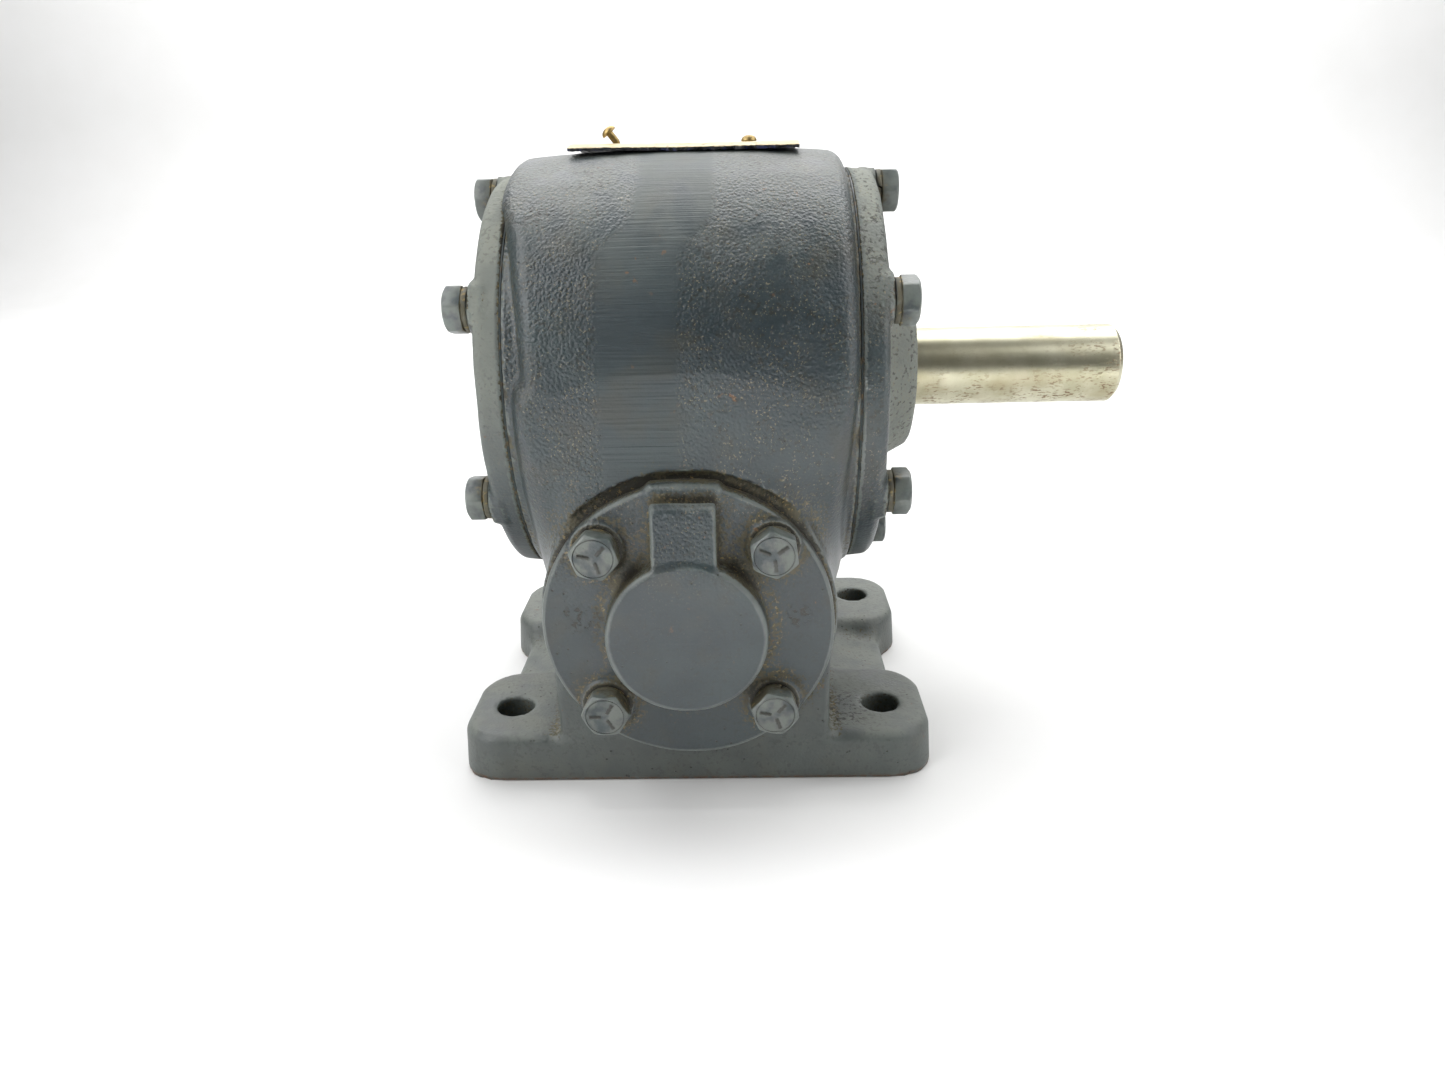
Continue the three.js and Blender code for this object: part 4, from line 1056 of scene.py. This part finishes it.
def washer_field(u, v, w):
    """A split lock washer, a little sprung so that its cut ends don't quite meet."""
    mean_r, half_width, spring, half_split = 5.3, 1.1, 0.25, 0.35
    turn = np.arctan2(v, u) / (2 * math.pi)
    height = slab(w - 0.12 - spring * turn, 0.12, 1.72)
    ring = within(np.abs(np.hypot(u, v) - mean_r) - half_width, height, 0.2)
    split = np.maximum(np.abs(v + 0.5 * (w - 1)) - half_split, u)
    return np.maximum(ring, -split)


def axis_frame(origin, out, twist):
    """Places a piece drawn along +w at origin, pointing along out and turned by twist degrees."""
    turn = Vector((0, 0, 1)).rotation_difference(Vector(out)).to_matrix().to_4x4()
    return np.array(Matrix.Translation(origin) @ turn @ Matrix.Rotation(math.radians(twist), 4, "Z"))


def placed(points, frame_matrix):
    return points @ frame_matrix[:3, :3].T + frame_matrix[:3, 3]


def painted_piece(name, shape, frame_matrix, near, node=None, sharp=None):
    """A small painted piece on the case. shape is points and faces, and it may end with attributes
    for the points. near are the fields round its foot, where dirt gathers."""
    points, faces, *extra = shape
    points = placed(points, frame_matrix)
    piece = new_object(name, points, faces, painted_bolt, *extra, sharp=sharp)
    normals = np.zeros(len(points) * 3, np.float32)
    piece.data.vertex_normals.foreach_get("vector", normals)
    add_attribute(piece.data, "hiding", hiding(points, normals.reshape(-1, 3), near))
    return stands_for(piece, node, "case")


COVER_BOLT_LENGTH = 17.0
CAP_BOLT_LENGTH = 19.0
SEAT_GAP = 0.12
small_step = 0.5 * coarseness
bolt_shapes = {length: bolt_mesh(length) for length in (COVER_BOLT_LENGTH, CAP_BOLT_LENGTH)}
washer_shape = contour(washer_field, (-6.5, -6.5, 0), (6.5, 6.5, 2), small_step)


def add_bolt(lid, number, origin, out, length):
    """A bolt and its washer. Where the bolt sits on the lid sets how far it is turned, and the split
    of each washer is somewhere else."""
    near = [lids[lid][0]]
    first, second = (place for place, along in zip(origin, out) if along == 0)
    twist = (7 * first + 13 * second) % 60
    node = f"{lid}_bolt_{number}"
    seat = axis_frame(origin, out, twist)
    painted_piece(node + "_hex", bolt_shapes[length], seat, near, node, sharp=32)
    split_turn = axis_frame(origin, out, twist + 77 * number)
    painted_piece(f"{lid}_washer_{number}", washer_shape, split_turn, near)


cover_seat = COVER_RIM_X + PAD + SEAT_GAP
cap_seat = CAP_RIM_Y + PAD + SEAT_GAP
for side, lid_name in ((1, "output_cover"), (-1, "blind_cover")):
    for number, (y, z) in enumerate(COVER_BOLTS, 1):
        add_bolt(lid_name, number, (side * cover_seat, y, z), (side, 0, 0), COVER_BOLT_LENGTH)
for side, lid_name in ((-1, "front_cap"), (1, "rear_cap")):
    for number, (x, z) in enumerate(CAP_BOLTS, 1):
        add_bolt(lid_name, number, (x, side * cap_seat, z), (0, side, 0), CAP_BOLT_LENGTH)


# ---------------- turned pieces

def softened(profile, radius):
    """The profile with each corner cut into a short curve."""
    result = [np.array(profile[0], float)]
    for before, corner, after in zip(profile, profile[1:], profile[2:]):
        before, corner, after = (np.array(p, float) for p in (before, corner, after))
        to_before, to_after = before - corner, after - corner
        reach = min(radius, np.linalg.norm(to_before) * 0.45, np.linalg.norm(to_after) * 0.45)
        start = corner + to_before / np.linalg.norm(to_before) * reach
        end = corner + to_after / np.linalg.norm(to_after) * reach
        for share in (0, 0.25, 0.5, 0.75, 1):
            result.append((1 - share) ** 2 * start + 2 * share * (1 - share) * corner + share ** 2 * end)
    result.append(np.array(profile[-1], float))
    return result


def lathe(profile, sides, radius):
    """Vertices and faces of a profile of (radius, height) turned about +w. Its ends are closed, unless
    it ends where it starts."""
    rows = softened(profile, radius)
    points = []
    for r, w in rows:
        for i in range(sides):
            angle = 2 * math.pi * i / sides
            points.append((r * math.cos(angle), r * math.sin(angle), w))
    faces = round_faces(len(rows), sides)
    if not np.allclose(profile[0], profile[-1]):
        faces += end_faces(len(rows), sides)
    return np.array(points), faces


def lathed_piece(name, profile, origin, out, material, node, body, radius, sides=128):
    """A piece turned about the axis out through origin, with corners rounded to radius."""
    points, faces = lathe(profile, sides, radius)
    piece = new_object(name, placed(points, axis_frame(origin, out, 0)), faces, material, sharp=38)
    mend_closed(piece)
    return stands_for(piece, node, body)


def mend_closed(piece):
    """Joins coinciding vertices and turns every face outwards."""
    shape = bmesh.new()
    shape.from_mesh(piece.data)
    bmesh.ops.remove_doubles(shape, verts=shape.verts, dist=1e-6)
    bmesh.ops.recalc_face_normals(shape, faces=shape.faces)
    shape.to_mesh(piece.data)
    shape.free()


def cut_with(piece, half_sizes, centre):
    """Cuts a box out of a piece."""
    points = [(sx * half_sizes[0], sy * half_sizes[1], sz * half_sizes[2])
              for sx in (-1, 1) for sy in (-1, 1) for sz in (-1, 1)]
    faces = [(0, 1, 3, 2), (4, 6, 7, 5), (0, 4, 5, 1), (2, 3, 7, 6), (0, 2, 6, 4), (1, 5, 7, 3)]
    block = new_object("cutter", np.array(points) + np.array(centre), faces, steel)
    cut = piece.modifiers.new("cut", "BOOLEAN")
    cut.object = block
    cut.operation = "DIFFERENCE"
    cut.solver = "EXACT"
    depsgraph = bpy.context.evaluated_depsgraph_get()
    mesh = bpy.data.meshes.new_from_object(piece.evaluated_get(depsgraph))
    piece.modifiers.remove(cut)
    piece.data = mesh
    mesh.set_sharp_from_angle(angle=math.radians(38))
    bpy.data.objects.remove(block)


def output_shaft():
    """The ground output shaft, its journals under the bearings, and its keyway on the hidden side."""
    start = box_mm("output_shaft")[0][0]
    journal_r, middle_r, middle_half, journal_end, chamfer = 14.88, 16, 38, 57.5, 1.6
    profile = [
        (0, start), (13.7, start), (journal_r, start + 1.2), (journal_r, -middle_half),
        (middle_r, -middle_half), (middle_r, middle_half), (journal_r, middle_half),
        (journal_r, journal_end), (SHAFT_R, journal_end + 0.4), (SHAFT_R, SHAFT_END_X - chamfer),
        (SHAFT_R - chamfer, SHAFT_END_X), (0, SHAFT_END_X),
    ]
    piece = lathed_piece("output_shaft_turned", profile, (0, 0, OUTPUT_Z), (1, 0, 0), steel,
                         "output_shaft", "output", 0.3)
    key_half_width, key_depth = 3.2, 3.175
    cut_with(piece, (22.5, key_half_width, key_depth), (SHAFT_END_X - 22, SHAFT_R, OUTPUT_Z))


def worm_field(x, y, z):
    """The worm with its thread, journals, and input shaft with a keyway on top."""
    axial_pitch, root_r, crest_r, journal_r = 8.964, 14.0, 20.07, 12.26
    half_tooth, flank_slope = 3.7, 0.36
    key_half_width, key_depth, key_length = 2.38, 2.4, 28
    radial = from_worm_axis(x, z)
    turn = np.arctan2(z - WORM_Z, x) / (2 * math.pi)
    from_tooth = np.abs((y / axial_pitch + turn) % 1 - 0.5) * axial_pitch
    flank = (from_tooth - half_tooth + (radial - root_r) * flank_slope) * 0.94
    thread = np.maximum(np.maximum(flank, radial - crest_r), np.abs(y) - 24)
    core = disc(radial, y, root_r, -38, 38, 0.8)
    journals = disc(radial, y, journal_r, INPUT_LOW_Y, 66, 0.8)
    end = disc(radial, y, INPUT_R, 60, INPUT_END_Y, 0.9)
    whole = np.minimum(np.minimum(np.minimum(core, journals), end), merge(core, thread, 0.8))
    keyway = np.maximum(INPUT_END_Y - key_length - y, WORM_Z + INPUT_R - key_depth - z)
    return np.maximum(whole, -np.maximum(np.abs(x) - key_half_width, keyway))


def worm_shaft():
    points, quads = contour(worm_field, *box_mm("worm_shaft"), 0.75 * coarseness)
    piece = new_object("worm_shaft_turned", points, quads, steel)
    stands_for(piece, "worm_shaft", "worm")


def ring_profile(inner, outer, low, high):
    return [(inner, low), (outer, low), (outer, high), (inner, high), (inner, low)]


def seal_profile(lip, outer, low, high):
    """A lip seal: a pressed rim, a dished face and a lip that bears on the shaft."""
    return [
        (lip + 1.6, low), (outer, low), (outer, high), (outer - 2.0, high), (outer - 2.6, high - 1.2),
        (lip + 2.2, high - 1.2), (lip, high - 2.6), (lip + 0.5, high - 4.0), (lip + 1.6, high - 4.5),
        (lip + 1.6, low),
    ]


def gaskets():
    """Flat rings a little wider than the bores and a little narrower than the covers and caps."""
    cover_ring = ring_profile(COVER_BORE_R + 0.6, COVER_R - 0.12,
                              SEAM_X + GASKET_GAP, COVER_SEAT_X - GASKET_GAP)
    cap_ring = ring_profile(CAP_BORE_R + 0.18, CAP_R - 0.3, SEAT_Y + GASKET_GAP, CAP_SEAT_Y - GASKET_GAP)
    for node, ring, height, out, sides in (
        ("output_cover_gasket", cover_ring, OUTPUT_Z, (1, 0, 0), 192),
        ("blind_cover_gasket", cover_ring, OUTPUT_Z, (-1, 0, 0), 192),
        ("front_cap_gasket", cap_ring, WORM_Z, (0, -1, 0), 160),
        ("rear_cap_gasket", cap_ring, WORM_Z, (0, 1, 0), 160),
    ):
        lathed_piece(node + "_sheet", ring, (0, 0, height), out, fibre, node, "case",
                     0.1, sides)


def seals():
    lip_gap = 0.3
    for node, lip, origin, out, axis in (
        ("output_seal", SHAFT_R + lip_gap, (0, 0, OUTPUT_Z), (1, 0, 0), 0),
        ("input_seal", INPUT_R + lip_gap, (0, 0, WORM_Z), (0, 1, 0), 1),
    ):
        low, high = box_mm(node)
        outer = (high[2] - low[2]) / 2
        profile = seal_profile(lip, outer, low[axis], high[axis])
        lathed_piece(node + "_moulded", profile, origin, out, black_rubber, node,
                     "case", 0.3)


def plug_field(u, v, w):
    """A pipe plug: a threaded stem with a tapered square head."""
    half_square, corner_r, taper, root_r, pitch = 5.1, 6.6, 0.03, 6.8, 1.4
    radial = np.hypot(u, v)
    square = np.maximum(np.abs(u), np.abs(v)) - half_square + taper * w
    head = within(within(square, radial - corner_r, 0.4), slab(w, 0, 8), 0.5)
    turn = np.arctan2(v, u) / (2 * math.pi)
    thread = np.abs((w / pitch - turn) % 1 - 0.5) * pitch * 0.8
    stem = np.maximum(radial - root_r - thread, slab(w, -9, 1.2))
    return np.minimum(head, stem)


def plugs():
    """One plug high on the back of the drum, one at oil level on the right and one low on the left."""
    shape = contour(plug_field, (-7.6, -7.6, -9), (7.6, 7.6, 8), 1.1 * small_step)
    for node, origin, out in (
        ("fill_plug", (0, 47.5, 166.9), (0, SLANT, SLANT)),
        ("level_plug", (PEDESTAL_HALF_X, 33, 43), (1, 0, 0)),
        ("drain_plug", (-PEDESTAL_HALF_X, 0, 27), (-1, 0, 0)),
    ):
        seat = axis_frame(origin, out, 0)
        painted_piece(node + "_square", shape, seat, [body_field], node)


# ---------------- nameplate and its drive screws

PLATE_COLUMNS, PLATE_ROWS = 170, 60


def plate_points():
    """The vertices of the nameplate's lower layer and then of its upper one, column by column."""
    left, right = box_mm("nameplate")[0][0], box_mm("nameplate")[1][0]
    radius, thickness, half_depth = CROWN_R + 0.3, 1.0, 14.0
    lifted_length, most_lift = 34, 0.5
    half_turn = math.asin(half_depth / radius)
    points = []
    for layer in (0, 1):
        for i in range(PLATE_COLUMNS + 1):
            x = left + (right - left) * i / PLATE_COLUMNS
            ragged = 0.7 * noise.noise(Vector((x / 3.1, layer * 3, 4)))
            ragged += 0.5 * noise.noise(Vector((x / 0.8, layer * 3, 9)))
            chipped = 0.45 * noise.noise(Vector((x / 1.7, 5, 1 + layer))) * (1 - layer)
            lift = most_lift * max(0.0, (left + lifted_length - x) / lifted_length)
            for j in range(PLATE_ROWS + 1):
                turn = half_turn * (2 * j / PLATE_ROWS - 1)
                front = max(0.0, -turn / half_turn) ** 3
                turn += front * ragged / radius
                buckle = 0.12 * noise.noise(Vector((x / 9, turn * 8, 2))) + 0.12
                r = radius + layer * thickness + lift + buckle + front * chipped
                points.append((x, r * math.sin(turn), OUTPUT_Z + r * math.cos(turn)))
    return points


def nameplate():
    """A thin bent plate, ragged along its front edge and lifted a little at its left end. The under
    attribute is 1 on its lower layer."""
    across, around = PLATE_COLUMNS, PLATE_ROWS
    row = around + 1
    sheet = (across + 1) * row
    faces = []
    for i in range(across):
        for j in range(around):
            a = i * row + j
            faces.append((a, a + 1, a + 1 + row, a + row))
            b = a + sheet
            faces.append((b, b + row, b + 1 + row, b + 1))
    outline = [i * row for i in range(across + 1)] + [across * row + j for j in range(1, row)]
    outline += [i * row + around for i in range(across - 1, -1, -1)] + list(range(around - 1, 0, -1))
    for a, b in zip(outline, outline[1:] + outline[:1]):
        faces.append((a, b, b + sheet, a + sheet))
    under = [1.0] * sheet + [0.0] * sheet
    piece = new_object("nameplate_bent", plate_points(), faces, plate_face, {"under": under}, sharp=50)
    mend_closed(piece)
    stands_for(piece, "nameplate", "case")


def drive_screws():
    """Two dome-headed screws. The left one leans outwards and has worked itself half out."""
    profile = [(0, -4.6), (0.5, -4.6), (1.1, -3.4), (1.1, 0), (2.45, 0), (2.4, 0.6), (1.9, 1.3),
               (1.0, 1.7), (0, 1.8)]
    seat = box_mm("nameplate")[1][2] + 0.2
    lean, worked_out = math.radians(38), 3.3
    for node, origin, out in (
        ("nameplate_screw_right", (20, 0, seat), (0, 0, 1)),
        ("nameplate_screw_left", (-23.4, 0, seat + worked_out), (-math.sin(lean), 0, math.cos(lean))),
    ):
        lathed_piece(node + "_head", profile, origin, out, brass, node, "case", 0.25, 64)


output_shaft()
worm_shaft()
gaskets()
seals()
plugs()
nameplate()
drive_screws()


# ---------------- hidden inner pieces

INNER_LOOKS = {
    "wheel_rim": bronze, "wheel_hub": hub_iron, "wheel_key": steel,
    "output_spacer": steel, "blind_spacer": steel,
}
for node, thing in frame["nodes"].items():
    look = bearing_steel if "_bearing_" in node else INNER_LOOKS.get(node)
    if look is not None:
        thing.data.materials.clear()
        thing.data.materials.append(look)


# ---------------- floor, light and camera

def soft_white(name, shade):
    f = Finish(name)
    mottled = f.blend(f.noise(60, 3), (shade, shade, shade), tuple(shade * c for c in (0.95, 0.95, 0.94)))
    return f.finish(mottled, 0.7, [(f.noise(3, 3, shift=1.0), 0.02)])


def studio():
    """A pale sweep: a floor that curves up into a back wall."""
    half_width, near, wall, top, bend, bend_steps = 2500, -1800, 1500, 2400, 300, 12
    path = [(near, 0), (wall - bend, 0)]
    for i in range(1, bend_steps + 1):
        angle = math.pi / 2 * i / bend_steps
        path.append((wall - bend + bend * math.sin(angle), bend - bend * math.cos(angle)))
    path.append((wall, top))
    points = [(x, y, z) for y, z in path for x in (-half_width, half_width)]
    faces = [(2 * i, 2 * i + 1, 2 * i + 3, 2 * i + 2) for i in range(len(path) - 1)]
    new_object("studio_sweep", points, faces, soft_white("studio_white", 0.78))


def area_light(name, place, aim, width, height, power, spread=180):
    """A rectangular light at place that faces aim, in millimetres, watts and degrees."""
    light = bpy.data.lights.new(name, "AREA")
    light.shape = "RECTANGLE"
    light.size, light.size_y = width * MM, height * MM
    light.energy = power
    light.spread = math.radians(spread)
    thing = bpy.data.objects.new(name, light)
    thing.location = Vector(place) * MM
    thing.rotation_euler = (Vector(aim) - Vector(place)).to_track_quat("-Z", "Y").to_euler()
    bpy.context.collection.objects.link(thing)


def lighting():
    """A large soft light behind and above that the top faces shine with, a panel at each side, narrow
    lights that whiten the floor in front without reaching the part's sides, and one for the wall."""
    area_light("overhead_softbox", (60, 720, 1150), (60, 700, 0), 2000, 1250, 32)
    area_light("left_panel", (-709, -410, 674), (0, 0, 100), 770, 1060, 9)
    area_light("right_panel", (820, -300, 574), (0, 0, 100), 770, 900, 5)
    area_light("near_floor_light", (0, -300, 1100), (0, -301, 0), 1400, 260, 1.6, 14)
    area_light("far_floor_light", (0, -560, 1600), (0, -561, 0), 1400, 260, 4.0, 25)
    area_light("wall_light", (0, 1000, 1250), (0, 1500, 650), 3400, 300, 6, 120)
    world = bpy.data.worlds.new("grey_room")
    world.use_nodes = True
    world.node_tree.nodes["Background"].inputs["Color"].default_value = (0.5, 0.51, 0.5, 1)
    world.node_tree.nodes["Background"].inputs["Strength"].default_value = 0.17
    bpy.context.scene.world = world
    bpy.context.scene.view_settings.view_transform = "Standard"


def camera():
    """Looks down on the closed cap's end from in front, a little to the right of it. Its place, angles
    and lens were fitted by least squares, so that known points of the part fall where they were seen."""
    place, lens = (0.017163, -0.327307, 0.183013), 24.174
    heading, pitch, roll = math.radians(-1.4913), math.radians(21.039), math.radians(1.4262)
    ahead = Vector((math.sin(heading) * math.cos(pitch), math.cos(heading) * math.cos(pitch),
                    -math.sin(pitch)))
    level = Vector((math.cos(heading), -math.sin(heading), 0))
    down = ahead.cross(level)
    right = level * math.cos(roll) + down * math.sin(roll)
    up = level * math.sin(roll) - down * math.cos(roll)
    data = bpy.data.cameras.new("camera")
    data.sensor_width = 36
    data.lens = lens
    data.clip_start = 0.01
    thing = bpy.data.objects.new("camera", data)
    rows = [(right[i], up[i], -ahead[i], place[i]) for i in range(3)]
    thing.matrix_world = Matrix(rows + [(0, 0, 0, 1)])
    bpy.context.collection.objects.link(thing)
    bpy.context.scene.camera = thing


studio()
lighting()
camera()
